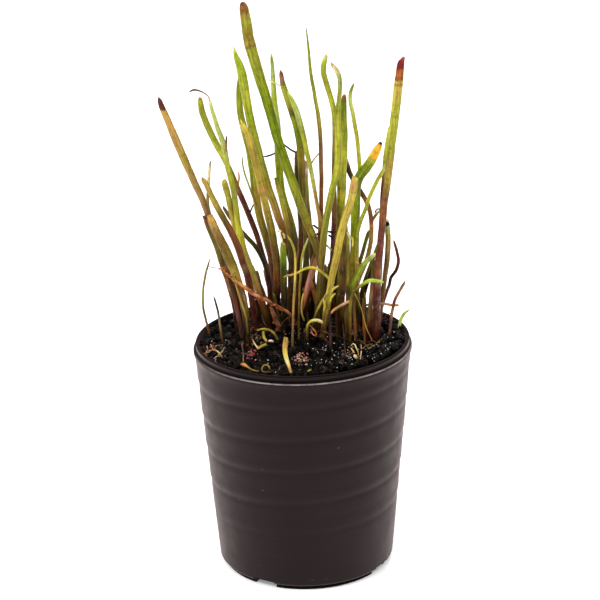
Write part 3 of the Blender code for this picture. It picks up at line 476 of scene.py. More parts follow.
BITS = (
    Bit("curl_thread", "curled_tip_leaf", (1.5, 0.0), "brown, dark brown, brown, mauve, tan", (
        (189.5, 92, 0.8), (191.5, 90.6, 1.5), (194, 89.9, 1.7), (197, 90.2, 1.4), (200, 91.2, 1.2),
        (204, 93, 1.0), (207, 95, 1.0), (209, 98, 1.1), (210, 102, 1.4))),
    Bit("side_twig", "brown_runner", (-1.5, 0.2), "pale green, brown, rust, orange tan", (
        (380, 210.5, 1.2), (377.5, 213, 2.3), (374.5, 217, 2.4), (372, 222, 2.4), (371.6, 228, 2.2))),
    Bit("side_twig_loop", "brown_runner", (-1.3, -1.4), "black, soot, black", (
        (375.2, 212.5, 1.0), (376.4, 210.0, 1.1), (378.8, 208.8, 1.1), (380.2, 209.8, 1.1),
        (379.0, 211.8, 1.0))),
    Bit("level_twig", "thin_right_stem", (-1.5, 1.0),
        "tan, orange tan, mauve, red brown, maroon, dark brown", (
        (398.5, 305.2, 2.0), (394, 305.2, 2.4), (389, 304.6, 2.3), (384, 303.6, 2.2), (378, 304.2, 2.2),
        (371, 304.8, 2.0), (364, 305, 1.6))),
    # The pink in the middle is a painted highlight over the twig's red-brown underside
    Bit("tan_twig", "front_brown_stem", (2.4, 6.0), "maroon, orange tan, pink, tan, orange tan, mauve", (
        (354.5, 299.4, 1.8), (350, 301, 2.4), (345, 303.2, 2.6), (339, 306.6, 2.4), (334, 310.2, 2.1),
        (329, 315.5, 1.5))),
    Bit("pale_slant", "yellow_front_stem", (0.2, -2.0), "straw, ochre, olive tan, dark olive", (
        (326.5, 294, 1.6), (322, 301.5, 2.0), (318, 309.5, 2.0), (314.5, 319, 1.8), (312.8, 326, 1.4))),
    Bit("sheath_left", "yellow_front_stem", (1.2, 1.6), "straw, ochre, straw", (
        (323.6, 300, 0.9), (324.6, 306, 1.6), (323.8, 311, 1.4), (325.0, 316, 0.9))),
    Bit("sheath_right", "yellow_front_stem", (1.3, 1.8), "cream, straw, ochre", (
        (338.2, 286.0, 0.9), (335.4, 287.6, 1.8), (332.8, 289.8, 1.9), (331.2, 292.6, 1.2))),
    Bit("sheath_low", "yellow_front_stem", (1.3, 1.8), "straw, yellow, ochre", (
        (335.2, 293.6, 0.8), (333.2, 295.6, 1.7), (331.0, 298.6, 1.6), (329.6, 302.5, 1.0))),
    Bit("pink_curl", "grit", (0.2, 2.2), "rust, salmon, rust, salmon", (
        (310.5, 325.5, 0.8), (312.4, 328, 1.1), (315, 331, 1.1), (316.2, 334, 1.0), (314.8, 335.6, 0.9),
        (312.8, 334.2, 0.8), (311.2, 331.4, 0.7))),
    Bit("yellow_arch", "pale_thin_shoot", (3.6, 4.2), "ochre, tan, yellow, yellow, ochre, yellow green", (
        (284, 277, 1.2), (288, 275.6, 1.6), (293, 274.8, 2.0), (298, 272.8, 2.1), (303, 269.6, 2.1),
        (308, 267.8, 2.2), (313, 267.6, 2.3), (317, 269, 2.2), (321, 271.6, 2.1), (325.5, 275.2, 2.0),
        (329, 279, 1.8))),
    Bit("grit_thread_top", "grit", (1.6, 1.2), "straw, ochre, olive tan, dark olive, dark olive", (
        (257.5, 330.4, 1.3), (262, 329.3, 1.8), (267, 329.4, 1.9), (271.5, 331.2, 1.9), (275, 334.6, 1.8),
        (277.6, 339.5, 1.6))),
    Bit("grit_thread_drop", "grit", (1.6, 0.6), "olive tan, ochre, olive tan", (
        (263.2, 331.6, 1.8), (263.4, 335, 2.2), (264.6, 338.4, 2.2), (266.8, 341.4, 1.8))),
    Bit("grit_thread_slant", "grit", (0.5, 0.9), "ochre, olive tan, ochre", (
        (257.6, 349, 1.5), (260.2, 347.2, 2.2), (263, 345.6, 2.4), (266.4, 344.4, 1.8))),
    Bit("grit_thread_fork", "grit", (0.4, 0.4), "tan, cream, cream", (
        (252.6, 339.5, 0.7), (254.6, 343.4, 0.9), (257.8, 348.4, 1.0))),
    Bit("grit_thread_pale", "grit", (0.8, 0.8), "ivory, pink", (
        (268.6, 341.2, 1.3), (270.8, 341.0, 2.2), (273.2, 341.6, 1.5))),
    Bit("white_curl", "grit", (0.6, 0.6), "tan, ivory, cream, tan, brown", (
        (351.4, 345.6, 0.5), (353.0, 343.8, 0.8), (354.8, 344.6, 0.9), (356.2, 347.6, 0.7),
        (358.2, 352, 0.6), (358.6, 357, 0.5))),
    Bit("white_curl_low", "grit", (0.5, 0.4), "cream, tan, brown", (
        (351.2, 348.4, 0.8), (353.6, 352.0, 1.0), (356.0, 356.4, 0.8))),
    Bit("tan_crumb", "grit", (0.6, 0.8), "cream, ivory, tan", (
        (353.8, 354.8, 1.6), (355.2, 356.4, 3.0), (356.8, 358.2, 1.8))),
    Bit("pink_line", "grit", (0.4, 0.4), "mauve, pink, ivory, pink", (
        (361.2, 344.5, 0.4), (361.4, 350, 0.5), (361.0, 355, 0.6), (360.4, 359, 0.4))),
    Bit("tan_sliver", "grit", (0.7, 0.4), "rust, tan, orange tan, olive tan, olive tan, brown", (
        (240.6, 364.4, 1.8), (243.6, 364.8, 3.4), (246.6, 366.4, 2.0), (250.0, 368.6, 1.0),
        (254, 370.8, 0.9), (258.6, 371.6, 0.8))),
    Bit("pale_loop", "grit", (0.3, 0.3), "dark brown, brown, dun, tan, brown, dark brown", (
        (266.0, 375.6, 0.8), (262.6, 371.4, 0.9), (262.2, 367.6, 1.0), (264.8, 365.2, 1.1),
        (268.2, 365.8, 1.1), (269.8, 369.2, 1.0), (269.2, 373.6, 0.8))),
    Bit("green_sprig", "grit", (1.0, 0.2), "dark olive, olive, dark olive", (
        (311.4, 369.4, 0.9), (309.8, 372.8, 1.4), (308.8, 376, 1.4), (308.6, 379.6, 1.0))),
    Bit("inner_sheath", "brown_tip_leaf", (3.0, 2.0),
        "orange tan, salmon, pink, salmon, orange tan, maroon", (
        (317.5, 254, 1.5), (315.5, 262, 4.6), (311.5, 275, 5.2), (307, 290, 5.0), (304, 302, 4.4),
        (302.5, 318, 3.6))),
    Bit("dark_thread_a", "needle_leaf", (0.4, 0.4), "wet black, black, soot", (
        (313.2, 225.0, 1.2), (316.2, 227.2, 1.7), (319.6, 229.8, 1.5))),
    Bit("dark_thread_b", "needle_leaf", (0.4, 0.4), "wet black, black, soot", (
        (314.2, 236.4, 1.3), (317, 234.2, 1.7), (320.6, 232.2, 1.7))),
    Bit("dark_thread_c", "bent_leaf_left", (0.6, 0.6), "wet black, wet black, dark maroon", (
        (328.2, 231.6, 1.4), (332.2, 232.2, 1.9), (336.2, 231.6, 1.4))),
    Bit("dark_thread_d", "bent_leaf_left", (0.5, 0.5), "wet black, black", (
        (328.4, 235.0, 1.2), (330.6, 236.4, 1.4), (333.0, 238.6, 1.2))),
    Bit("black_twig_left", "pointed_green_leaf", (-1.2, -2.4), "black, soot, dark grey", (
        (263.8, 156.6, 0.8), (267, 156.1, 1.3), (270.6, 155.0, 1.4), (275, 153.2, 1.2))),
    Bit("dark_twig_mid", "tall_leaf", (-1.2, -4.0), "dark olive, soot, dark brown, dark brown", (
        (282.4, 143.4, 1.0), (286.4, 146.4, 1.4), (290.6, 149.6, 1.5), (294.4, 151.6, 1.6),
        (297.6, 153.2, 1.4))),
    Bit("pale_spur", "bulging_leaf", (0.6, 0.1), "tan, olive tan, green olive", (
        (318.2, 154.0, 0.8), (315.6, 157.2, 1.1), (313.0, 160.6, 1.2), (311.0, 164.8, 1.2),
        (310.8, 170, 1.2))),
    Bit("pale_thread", "brown_tip_leaf", (-1.0, 0.6), "cream, pale green, green olive", (
        (269.6, 80.2, 1.4), (272.4, 81.8, 1.1), (276, 83.6, 1.0), (280.2, 85.6, 1.1), (283.4, 87.2, 1.2))),
    Bit("spur_a", "curled_tip_leaf", (0.8, 0.3), "dark grey, mauve, tan", (
        (226.4, 136.6, 1.2), (226.4, 141, 1.8), (226.2, 148, 1.8), (226.4, 156, 1.6))),
    Bit("spur_b", "curved_left_leaf", (0.6, 0.2), "salmon, orange tan, tan, olive tan", (
        (238.6, 172, 0.8), (239.0, 177, 1.5), (238.4, 183, 1.6), (237.6, 190, 1.6))),
    Bit("spur_c", "curved_left_leaf", (0.8, 0.2), "dark olive, dark brown, dark maroon", (
        (253.4, 204.6, 0.8), (251.8, 208.6, 1.3), (249.6, 213.4, 1.6), (248.8, 217, 1.5))),
    Bit("fine_blade", "olive_leaf", (1.4, 0.8),
        "dark olive, olive, green olive, green olive, olive, olive tan", (
        (242.4, 158, 0.6), (243.0, 166, 1.2), (245.2, 175, 1.4), (248, 183, 1.5), (250.4, 190, 1.5),
        (252.6, 196, 1.5), (255.4, 204, 1.4))),
    Bit("fuzz_a", "pale_front_stem", (-3.0, -3.0), "straw, ivory, cream", (
        (277.4, 231.6, 1.2), (279.4, 230.8, 1.8), (281.6, 231.8, 1.4))),
    Bit("fuzz_b", "pale_front_stem", (-3.0, -3.0), "ivory, cream, straw", (
        (279.0, 233.6, 1.1), (280.4, 236.4, 1.5), (281.8, 239.2, 1.2), (282.4, 242.0, 0.9))),
    Bit("fuzz_c", "pale_front_stem", (-3.2, -3.2), "yellow, cream", (
        (282.6, 233.2, 1.1), (284.0, 235.0, 1.4), (284.6, 238.4, 1.0))),
    Bit("pale_patch", "bent_leaf_right", (-2.2, -2.4), "pale green, cream, pale green", (
        (325.6, 244.4, 1.2), (328.4, 247, 1.8), (331.6, 250.4, 1.2))),
    Bit("mid_fuzz_a", "green_diagonal_leaf", (2.4, 2.8), "cream, ivory, straw", (
        (347.0, 232.4, 1.2), (348.8, 234.8, 1.8), (349.6, 238.4, 1.3))),
    Bit("mid_fuzz_b", "green_diagonal_leaf", (2.6, 2.9), "yellow green, straw, straw", (
        (349.4, 236.6, 1.2), (352.0, 237.8, 1.8), (353.0, 241.4, 1.4), (352.4, 246.6, 1.0))),
    Bit("orange_knot", "green_diagonal_leaf", (1.4, 1.2), "tan, orange tan, brown", (
        (356.4, 261.6, 0.9), (357.6, 262.8, 1.6), (358.2, 264.4, 1.6), (358.0, 266.2, 0.9))),
    Bit("brown_stem_right", "red_tip_stem", (-1.6, -1.2),
        "dark brown, brown, mauve, brown, maroon, dark maroon", (
        (374.0, 262, 2.2), (373.0, 275, 3.8), (371.8, 290, 4.4), (370.6, 305, 4.4), (369.0, 320, 4.2),
        (367.4, 334, 3.8), (366.4, 345, 3.2))),
    Bit("dark_stem_right", "diagonal_shoot", (-1.8, -1.8), "soot, black, dark maroon, soot, black", (
        (375.4, 261, 1.4), (371.6, 271, 2.4), (367.6, 283, 2.8), (364.4, 295, 3.0), (362.4, 310, 3.0),
        (361.6, 326, 2.6))),
    Bit("foot_stem_dark", "front_brown_stem", (1.2, 2.4), "dark olive, soot, dark maroon, soot, black", (
        (337.6, 296, 1.4), (336.8, 310, 2.8), (337.0, 325, 3.0), (337.8, 345, 2.6))),
    Bit("foot_stem_tan", "front_brown_stem", (1.6, 3.4), "olive brown, dun, brown, dun, brown", (
        (346.4, 300, 1.2), (346.8, 314, 2.0), (347.6, 328, 2.2), (348.2, 346, 1.8))),
    Bit("foot_stem_brown", "thin_olive_stem", (0.8, 2.4), "dark brown, brown, red brown, dark brown", (
        (353.4, 298, 1.4), (354.4, 312, 2.4), (355.6, 327, 2.6), (356.4, 343, 2.0))),
    Bit("foot_stem_rust", "thin_olive_stem", (0.2, 1.6), "brown, red brown, rust, brown", (
        (363.0, 300, 1.2), (363.6, 315, 2.4), (364.4, 330, 2.6), (365.0, 345, 2.0))),
    Bit("left_dark_stem", "tan_left_stem", (1.0, 1.0),
        "dark maroon, dark brown, maroon, dark maroon, soot", (
        (228.8, 277, 1.8), (232.2, 290, 3.2), (236.2, 306, 4.0), (239.6, 322, 4.2), (242.2, 339, 3.4))),
    Bit("left_light_stem", "tan_left_stem", (1.5, 1.5),
        "olive tan, dun, olive tan, olive brown, dark olive", (
        (235.6, 284, 1.1), (239.0, 295, 1.8), (243.0, 307, 1.9), (246.4, 319, 1.9), (248.2, 334, 1.5))),
    Bit("inner_curl", "pale_thin_shoot", (-0.4, 1.6), "ochre, tan, olive tan, dark olive", (
        (303.4, 294, 1.2), (301.6, 303, 1.3), (301.6, 312, 1.3), (304.4, 321.6, 1.2))),
    Bit("left_root_a", "grit", (0.5, 0.5), "mauve, dark brown, mauve", (
        (242.0, 343.5, 0.7), (242.8, 350, 0.9), (243.4, 356, 0.8), (243.2, 361.5, 0.7))),
    Bit("left_root_b", "grit", (0.6, 0.4), "grey, cream, grey, dark grey", (
        (213.6, 349.4, 0.6), (217.4, 351.2, 0.9), (220.4, 354.4, 0.9), (222.6, 358.6, 0.7))),
)

# Clusters of dead plant crumbs on the grit: centre and half size in pixels, colours, and how many
Cluster = namedtuple("Cluster", "name across down half_across half_down tints count size")

CLUSTERS = (
    Cluster("pink_crumbs", 251, 355, 9, 5, "magenta, rose, crimson, blood, dark maroon, magenta", 56, 0.34),
    Cluster("salmon_crumbs", 300, 359, 8, 6, "salmon, rose, pink, ivory, rose, maroon, pink", 84, 0.24),
    Cluster("orange_debris", 206.5, 352, 5, 7, "orange tan, rust, orange tan, rust, salmon", 40, 0.50),
    Cluster("red_brown_debris", 215, 356, 5, 6, "red brown, crimson, maroon, pink, brown", 40, 0.42),
    Cluster("brown_bits_left", 224, 343, 12, 6, "dark brown, brown, dark maroon, mauve", 26, 0.40),
    Cluster("brown_bits_mid", 254, 340, 9, 8, "brown, dark maroon, mauve, dark brown", 34, 0.40),
    Cluster("brown_bits_right", 355, 350, 12, 9, "brown, dark brown, red brown, tan", 34, 0.36),
    Cluster("stem_foot_bits", 318, 332, 34, 9, "dark brown, red brown, dark maroon, soot", 70, 0.45),
)


def linear(channel):
    """A display colour channel from 0 to 255 as linear light."""
    c = channel / 255
    return c / 12.92 if c <= 0.04045 else ((c + 0.055) / 1.055) ** 2.4


def tone(name, share=1.0):
    """A palette colour as linear red, green, blue and alpha."""
    return (*(linear(c) * share for c in PALETTE[name]), 1.0)


def even_stops(tints, share=TINT_SHARE):
    """Colours from a list of names, evenly spaced from 0 to 1."""
    names = [t.strip() for t in tints.split(",")]
    return [(k / (len(names) - 1), tone(t, share)) for k, t in enumerate(names)]


def seen_at(across, down, depth):
    """The point at a depth behind the pot's axis that the camera sees at a pixel."""
    ray = AHEAD + (RIGHT * (across - FRAME_CENTRE) + UP * (FRAME_CENTRE - down)) / FOCAL_PIXELS
    return EYE + ray * (depth - EYE.y) / ray.y


def pixel_down(point):
    """How far down the photo a point is."""
    away = point - EYE
    return FRAME_CENTRE - away.dot(UP) / away.dot(AHEAD) * FOCAL_PIXELS


def pixel_across(point):
    """How far across the photo a point is."""
    away = point - EYE
    return FRAME_CENTRE + away.dot(RIGHT) / away.dot(AHEAD) * FOCAL_PIXELS


def pixel_size(point):
    """Metres that one pixel covers at a point."""
    return (point - EYE).dot(AHEAD) / FOCAL_PIXELS


def soil_height(point):
    """Height of the solid bed of grit under a point."""
    return SOIL_TOP + SOIL_SLOPE_ACROSS * point.x + SOIL_SLOPE_BACK * point.y


def on_grit(across, down, lift):
    """The point a little over the grit that the camera sees at a pixel, found in a few steps."""
    depth = 0.0
    for _ in range(6):
        point = seen_at(across, down, depth)
        above = point.z - soil_height(point) - lift
        depth += above / (EYE_TILT + SOIL_SLOPE_BACK)
    return seen_at(across, down, depth)


def side_radius(height):
    """Outside radius of the pot's plain tapered side."""
    return BASE_RADIUS + (SHOULDER_RADIUS - BASE_RADIUS) * height / POT_HEIGHT


def inner_radius(height):
    """Radius of the pot's inside near the rim."""
    top = RING_RADIUS - RING_THICKNESS
    low = side_radius(FLARE_START) - WALL
    return low + (top - low) * (height - FLARE_START) / (POT_HEIGHT - FLARE_START)


def kept_in_pot(point, margin):
    """The point, drawn towards the axis if it is nearer than the margin to the pot's inside."""
    limit = inner_radius(SOIL_TOP) - margin
    reach = Vector((point.x, point.y)).length
    if reach <= limit:
        return point
    return Vector((point.x * limit / reach, point.y * limit / reach, point.z))


def around(radius, angle):
    """Across and depth at a radius from the pot's axis and an angle from the front towards the right."""
    return radius * sin(angle), -radius * cos(angle)


def turned(a, b, angle):
    """Two coordinates turned by an angle."""
    return a * cos(angle) - b * sin(angle), a * sin(angle) + b * cos(angle)


def add_object(name, data):
    """A new object in the scene."""
    made = bpy.data.objects.new(name, data)
    bpy.context.scene.collection.objects.link(made)
    return made


def add_mesh(name, bm):
    """A finished bmesh as a new object in the scene."""
    mesh = bpy.data.meshes.new(name)
    bm.to_mesh(mesh)
    bm.free()
    return add_object(name, mesh)


def add_piece(name, bm, material):
    """Put a finished bmesh in the scene as a piece that rides on the body."""
    bmesh.ops.recalc_face_normals(bm, faces=bm.faces)
    piece = add_mesh(name, bm)
    piece.data.materials.append(material)
    piece.data.shade_smooth()
    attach(piece, "root")
    return piece


def bridge(bm, first, second):
    """Join two rings of as many points with faces."""
    for j in range(len(first)):
        n = (j + 1) % len(first)
        bm.faces.new((first[j], second[j], second[n], first[n]))


def cap(bm, ring, centre):
    """Close a ring with faces to a new point at its centre, and return the point."""
    pole = bm.verts.new(centre)
    for j in range(len(ring)):
        bm.faces.new((pole, ring[j], ring[(j + 1) % len(ring)]))
    return pole


class Shader:
    """A short way to write node materials."""

    def __init__(self, name):
        self.material = bpy.data.materials.new(name.replace("_", " "))
        self.material.use_nodes = True
        self.tree = self.material.node_tree
        self.principled = self.tree.nodes["Principled BSDF"]

    def feed(self, target, value):
        """Link a socket to a target, or set a plain value on it."""
        if isinstance(value, bpy.types.NodeSocket):
            self.tree.links.new(value, target)
        else:
            target.default_value = value

    def node(self, kind, output, inputs, **settings):
        """Add a node with its settings and inputs, and return one of its outputs."""
        made = self.tree.nodes.new("ShaderNode" + kind)
        for key, value in settings.items():
            setattr(made, key, value)
        for key, value in inputs.items():
            self.feed(made.inputs[key], value)
        return made.outputs[output]

    def attribute(self, name, output="Fac"):
        return self.node("Attribute", output, {}, attribute_name=name)

    def place(self):
        return self.node("TexCoord", "Object", {})

    def scaled(self, vector, scale):
        return self.node("Mapping", "Vector", {"Vector": vector, "Scale": scale})

    def noise(self, vector, kind):
        inputs = {"Vector": self.scaled(vector, kind.stretch), "Scale": kind.fineness,
                  "Detail": kind.detail, "Roughness": kind.roughness}
        return self.node("TexNoise", "Fac", inputs)

    def span(self, value, low, high, to_low=0.0, to_high=1.0):
        """A value eased from one range to another."""
        limits = {"Value": value, "From Min": low, "From Max": high, "To Min": to_low, "To Max": to_high}
        return self.node("MapRange", "Result", limits, interpolation_type="SMOOTHSTEP")

    def mask(self, vector, kind, share=1.0):
        """A pattern, with a share of what it gives."""
        found = self.noise(vector, kind)
        return self.span(found, kind.start, kind.full, kind.least * share, kind.most * share)

    def math(self, operation, *values):
        return self.node("Math", "Value", dict(enumerate(values)), operation=operation)

    def mix(self, factor, a, b, blend="MIX"):
        inputs = {"Factor": factor, "A": a, "B": b}
        return self.node("Mix", "Result", inputs, data_type="RGBA", blend_type=blend)

    def ramp(self, value, stops):
        """Colours along a value; stops are (place, colour), in order."""
        colour = self.node("ValToRGB", "Color", {"Fac": value})
        elements = colour.node.color_ramp.elements
        elements[0].position, elements[0].color = stops[0]
        elements[1].position, elements[1].color = stops[-1]
        for place, tint in stops[1:-1]:
            elements.new(place).color = tint
        return colour

    def bump(self, height, distance, strength, **under):
        inputs = {"Height": height, "Distance": distance, "Strength": strength, **under}
        return self.node("Bump", "Normal", inputs)

    def finish(self, **inputs):
        """Feed the surface. Plain numbers and colours are set on the shader's own sockets."""
        for key, value in inputs.items():
            self.feed(self.principled.inputs[key.replace("_", " ")], value)
        return self.material


def leaf_material(name, stops, blotch, husk=0.0, foot_shade=0.0, dry=0.42, flesh=1.0):
    """Fleshy skin: colours along the leaf, streaks, spots and cross walls, painted shade darkening towards
    the foot, wet beyond its dry share.
    """
    s = Shader(name)
    along = s.attribute("along")
    skin = s.attribute("skin", "Vector")
    stray = s.math("MULTIPLY_ADD", s.noise(skin, STRAY_TINT), 0.03, -0.015)
    colour = s.ramp(s.math("ADD", along, stray), stops)
    colour = s.mix(1.0, colour, s.mask(skin, STREAKS), "MULTIPLY")
    colour = s.mix(s.mask(skin, MOTTLE, flesh), colour, MOTTLE_BROWN, "MULTIPLY")
    colour = s.mix(s.mask(skin, PALE_AREAS, flesh), colour, PALE_YELLOW)
    colour = s.mix(s.mask(skin, SPOTS, blotch), colour, tone("dark olive", 0.6))
    cells = s.node("TexVoronoi", "Distance", {"Vector": s.scaled(skin, (1.0, 1.0, 0.8)), "Scale": 2.2})
    colour = s.mix(s.span(cells, 0.03, 0.20, 0.6 * blotch, 0.0), colour, tone("dark brown", 0.7))
    if husk:
        colour = s.mix(s.mask(skin, RUSTY_FIBRES, husk), colour, tone("rust", 0.75))
        colour = s.mix(s.mask(skin, SOOTY_FIBRES, husk), colour, tone("soot", 0.7))
    # Painted shade: the lower part of the leaf darkened towards the foot, deep in the clump
    if foot_shade:
        colour = s.mix(s.span(along, 0.15, 0.95, 0.0, foot_shade), colour, FOOT_SHADE_BROWN, "MULTIPLY")
    wall = s.math("MULTIPLY", s.attribute("septum"), 0.38)
    colour = s.mix(wall, colour, WALL_OLIVE, "MULTIPLY")
    colour = s.mix(s.attribute("scar"), colour, tone("soot"))
    wet = s.math("MULTIPLY", s.mask(skin, WATER_FILM), s.span(along, dry, 0.85, 0.06, 0.85))
    return s.finish(Base_Color=colour, Roughness=s.mask(skin, LEAF_SATIN),
                    Normal=s.bump(s.noise(skin, LEAF_GRAIN), 0.00016, 0.6),
                    Coat_Normal=s.bump(s.noise(skin, WATER_DROPS), 0.0006, 0.9),
                    Coat_Weight=wet, Coat_Roughness=0.06, Coat_IOR=1.5,
                    Subsurface_Weight=0.15, Subsurface_Scale=0.0006, Specular_IOR_Level=0.12)


def pot_material():
    """Thin black-brown moulded plastic: satin, faintly streaked and scuffed, with painted black shade inside,
    on the ring's top and in the groove between the ring and the lip, and a painted highlight on the lip's
    edge.
    """
    s = Shader("pot_plastic")
    place = s.place()
    colour = s.mix(s.mask(place, POT_CLOUDS), tone("charcoal", 0.22), tone("charcoal", 0.31))
    colour = s.mix(s.mask(place, POT_STREAKS), colour, STREAK_BLACK)
    colour = s.mix(s.mask(place, POT_SCUFFS), colour, SCUFF_GREY)
    edge = s.attribute("edge")
    # Painted shade: the edge attribute turns the inside, the ring's top and the groove under it black
    black = s.span(edge, 0.2, 0.9)
    colour = s.mix(black, colour, RIM_SHADE_BLACK)
    # Painted highlight: a pale grey band on the lip's rounded edge, strongest at the front, in patches
    lip_highlight = s.math("MULTIPLY", s.span(edge, -0.2, -0.9), s.mask(place, LIP_HIGHLIGHT_PATCHES))
    colour = s.mix(lip_highlight, colour, LIP_HIGHLIGHT_GREY)
    grain = s.bump(s.noise(place, POT_GRAIN), 0.00002, 0.5)
    return s.finish(Base_Color=colour, Roughness=s.math("MAXIMUM", s.mask(place, POT_SATIN), black),
                    Normal=s.bump(s.noise(place, POT_STREAKS), 0.00004, 0.35, Normal=grain),
                    Specular_IOR_Level=0.13, Specular_Tint=PLASTIC_GLOSS_TINT,
                    Sheen_Weight=0.16, Sheen_Roughness=0.40, Sheen_Tint=PLASTIC_SHEEN_TINT)


def grit_material(name, share):
    """Wet baked-clay grit: nearly black, soft grey on the tops, with a few sharp glints of water."""
    s = Shader(name)
    place = s.place()
    brown = (*(c * share for c in GRIT_BROWN), 1)
    colour = s.ramp(s.attribute("kind"), (
        (0.0, tone("wet black", 0.25 * share)), (0.60, tone("wet black", 0.55 * share)),
        (0.82, brown), (0.94, GRIT_DUN), (1.0, GRIT_PALE)))
    colour = s.mix(s.mask(place, GRIT_GRAINS), colour, GRAIN_BROWN)
    return s.finish(Base_Color=colour, Roughness=s.mask(place, GRIT_SATIN),
                    Normal=s.bump(s.noise(place, GRIT_LUMPS), 0.00040, 0.8),
                    Coat_Normal=s.bump(s.noise(place, GRIT_DROPS), 0.00035, 0.9),
                    Coat_Weight=s.mask(place, GRIT_WATER), Coat_Roughness=0.03, Coat_IOR=1.33,
                    Specular_IOR_Level=0.04, Specular_Tint=GRIT_GLOSS_TINT)


def crumb_material(name, tints, dirt=0.8):
    """Bits of dead plant, and the white specks of painted glints: each crumb has its own colour from the
    list.
    """
    s = Shader(name)
    place = s.place()
    colour = s.ramp(s.attribute("kind"), even_stops(tints, 0.85))
    colour = s.mix(s.mask(place, CRUMB_DIRT, dirt), colour, DIRT_BROWN, "MULTIPLY")
    return s.finish(Base_Color=colour, Roughness=s.mask(place, CRUMB_SATIN),
                    Normal=s.bump(s.noise(place, CRUMB_GRAIN), 0.00012, 0.7),
                    Subsurface_Weight=0.1, Subsurface_Scale=0.0005, Coat_Weight=0.4, Coat_Roughness=0.1)


def welded(node):
    """Points and neighbours of a CAD node's mesh, with doubled corners joined."""
    index = {}
    corner = []
    points = []
    for vert in node.data.vertices:
        key = tuple(round(c * 1e6) for c in vert.co)
        if key not in index:
            index[key] = len(points)
            points.append(vert.co.copy())
        corner.append(index[key])
    near = [set() for _ in points]
    for edge in node.data.edges:
        a, b = (corner[v] for v in edge.vertices)
        if a != b:
            near[a].add(b)
            near[b].add(a)
    return points, near


def layers_from(start, near):
    """Rings of points by their number of edges from a start."""
    seen = {start}
    layers = [[start]]
    while True:
        ring = sorted({n for v in layers[-1] for n in near[v]} - seen)
        if not ring:
            return layers
        seen.update(ring)
        layers.append(ring)


@lru_cache(maxsize=None)
def leaf_rings(name):
    """Centres and half widths of a CAD leaf's rings, its tip first."""
    points, near = welded(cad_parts[name])
    for start in range(len(points)):
        if len(near[start]) == CAD_SIDES:
            layers = layers_from(start, near)
            if all(len(ring) == CAD_SIDES for ring in layers[1:]):
                break
    stations = [(points[start], 0.0)]
    for ring in layers[1:]:
        centre = sum((points[v] for v in ring), Vector()) / len(ring)
        stations.append((centre, max((points[v] - centre).length for v in ring)))
    return stations


def split(stations):
    """Places and half widths of a leaf's stations, and the length of the leaf up to each."""
    places = [place for place, _ in stations]
    lengths = [0.0]
    for a, b in zip(places, places[1:]):
        lengths.append(lengths[-1] + (b - a).length)
    return places, [width for _, width in stations], lengths


def eased(values, lengths, at):
    """A value at a length along a smooth curve through the values given at the lengths."""
    k = 0
    while k < len(lengths) - 2 and lengths[k + 1] < at:
        k += 1
    span = lengths[k + 1] - lengths[k]
    t = (at - lengths[k]) / span

    def slope(i):
        low = max(0, i - 1)
        high = min(len(values) - 1, i + 1)
        return (values[high] - values[low]) / (lengths[high] - lengths[low]) * span

    return (values[k] * (2 * t ** 3 - 3 * t ** 2 + 1) + slope(k) * (t ** 3 - 2 * t ** 2 + t)
            + values[k + 1] * (3 * t ** 2 - 2 * t ** 3) + slope(k + 1) * (t ** 3 - t ** 2))


def tip_share(kind, t):
    """Share of the first ring's width at a share of the way from the tip to it."""
    if kind in ("cut", "ragged"):
        return 0.86 + 0.14 * t
    if kind == "round":
        return sqrt(1 - (1 - t) ** 2)
    if kind == "dry":
        return 0.35 + 0.65 * t ** 1.5
    return t ** 0.8


def colour_stops(tints, centres, lengths):
    """Places along the leaf, from 0 to 1, and colours, from pixels down the photo or from shares."""
    pairs = [item.strip().split(" ", 1) for item in tints.split(",")]
    if float(pairs[0][0]) == 0:
        return [(float(share), tone(colour, TINT_SHARE)) for share, colour in pairs]
    downs = [pixel_down(c) for c in centres]
    stops = []
    k = 0
    for down, colour in pairs:
        k = min(range(k, len(downs)), key=lambda i: abs(downs[i] - float(down)))
        place = lengths[k] / lengths[-1]
        if not stops or place > stops[-1][0] + 1e-4:
            stops.append((place, tone(colour, TINT_SHARE)))
    return stops


def new_skin():
    """An empty mesh with the layers that a leaf's material reads."""
    bm = bmesh.new()
    for name in ("along", "septum", "scar"):
        bm.verts.layers.float.new(name)
    bm.verts.layers.float_vector.new("skin")
    return bm


def wall_places(rng, septa, total):
    """Places and strengths of the cross walls along a leaf."""
    walls = []
    at = septa * MM * rng.uniform(0.4, 1.0)
    while septa and at < total:
        walls.append((at, rng.uniform(0.15, 1.0)))
        at += septa * MM * rng.uniform(0.45, 1.7)
    return walls


def wave(kind, drift, at):
    """Smooth noise along a leaf."""
    return kind.size * noise.noise(Vector((drift, kind.channel, at * kind.in_metre)))


def wander(kind, drift, at):
    """Smooth straying to all sides along a leaf, the same in every run."""
    return Vector([wave(kind, drift + far, at) for far in (0, 200, 400)])


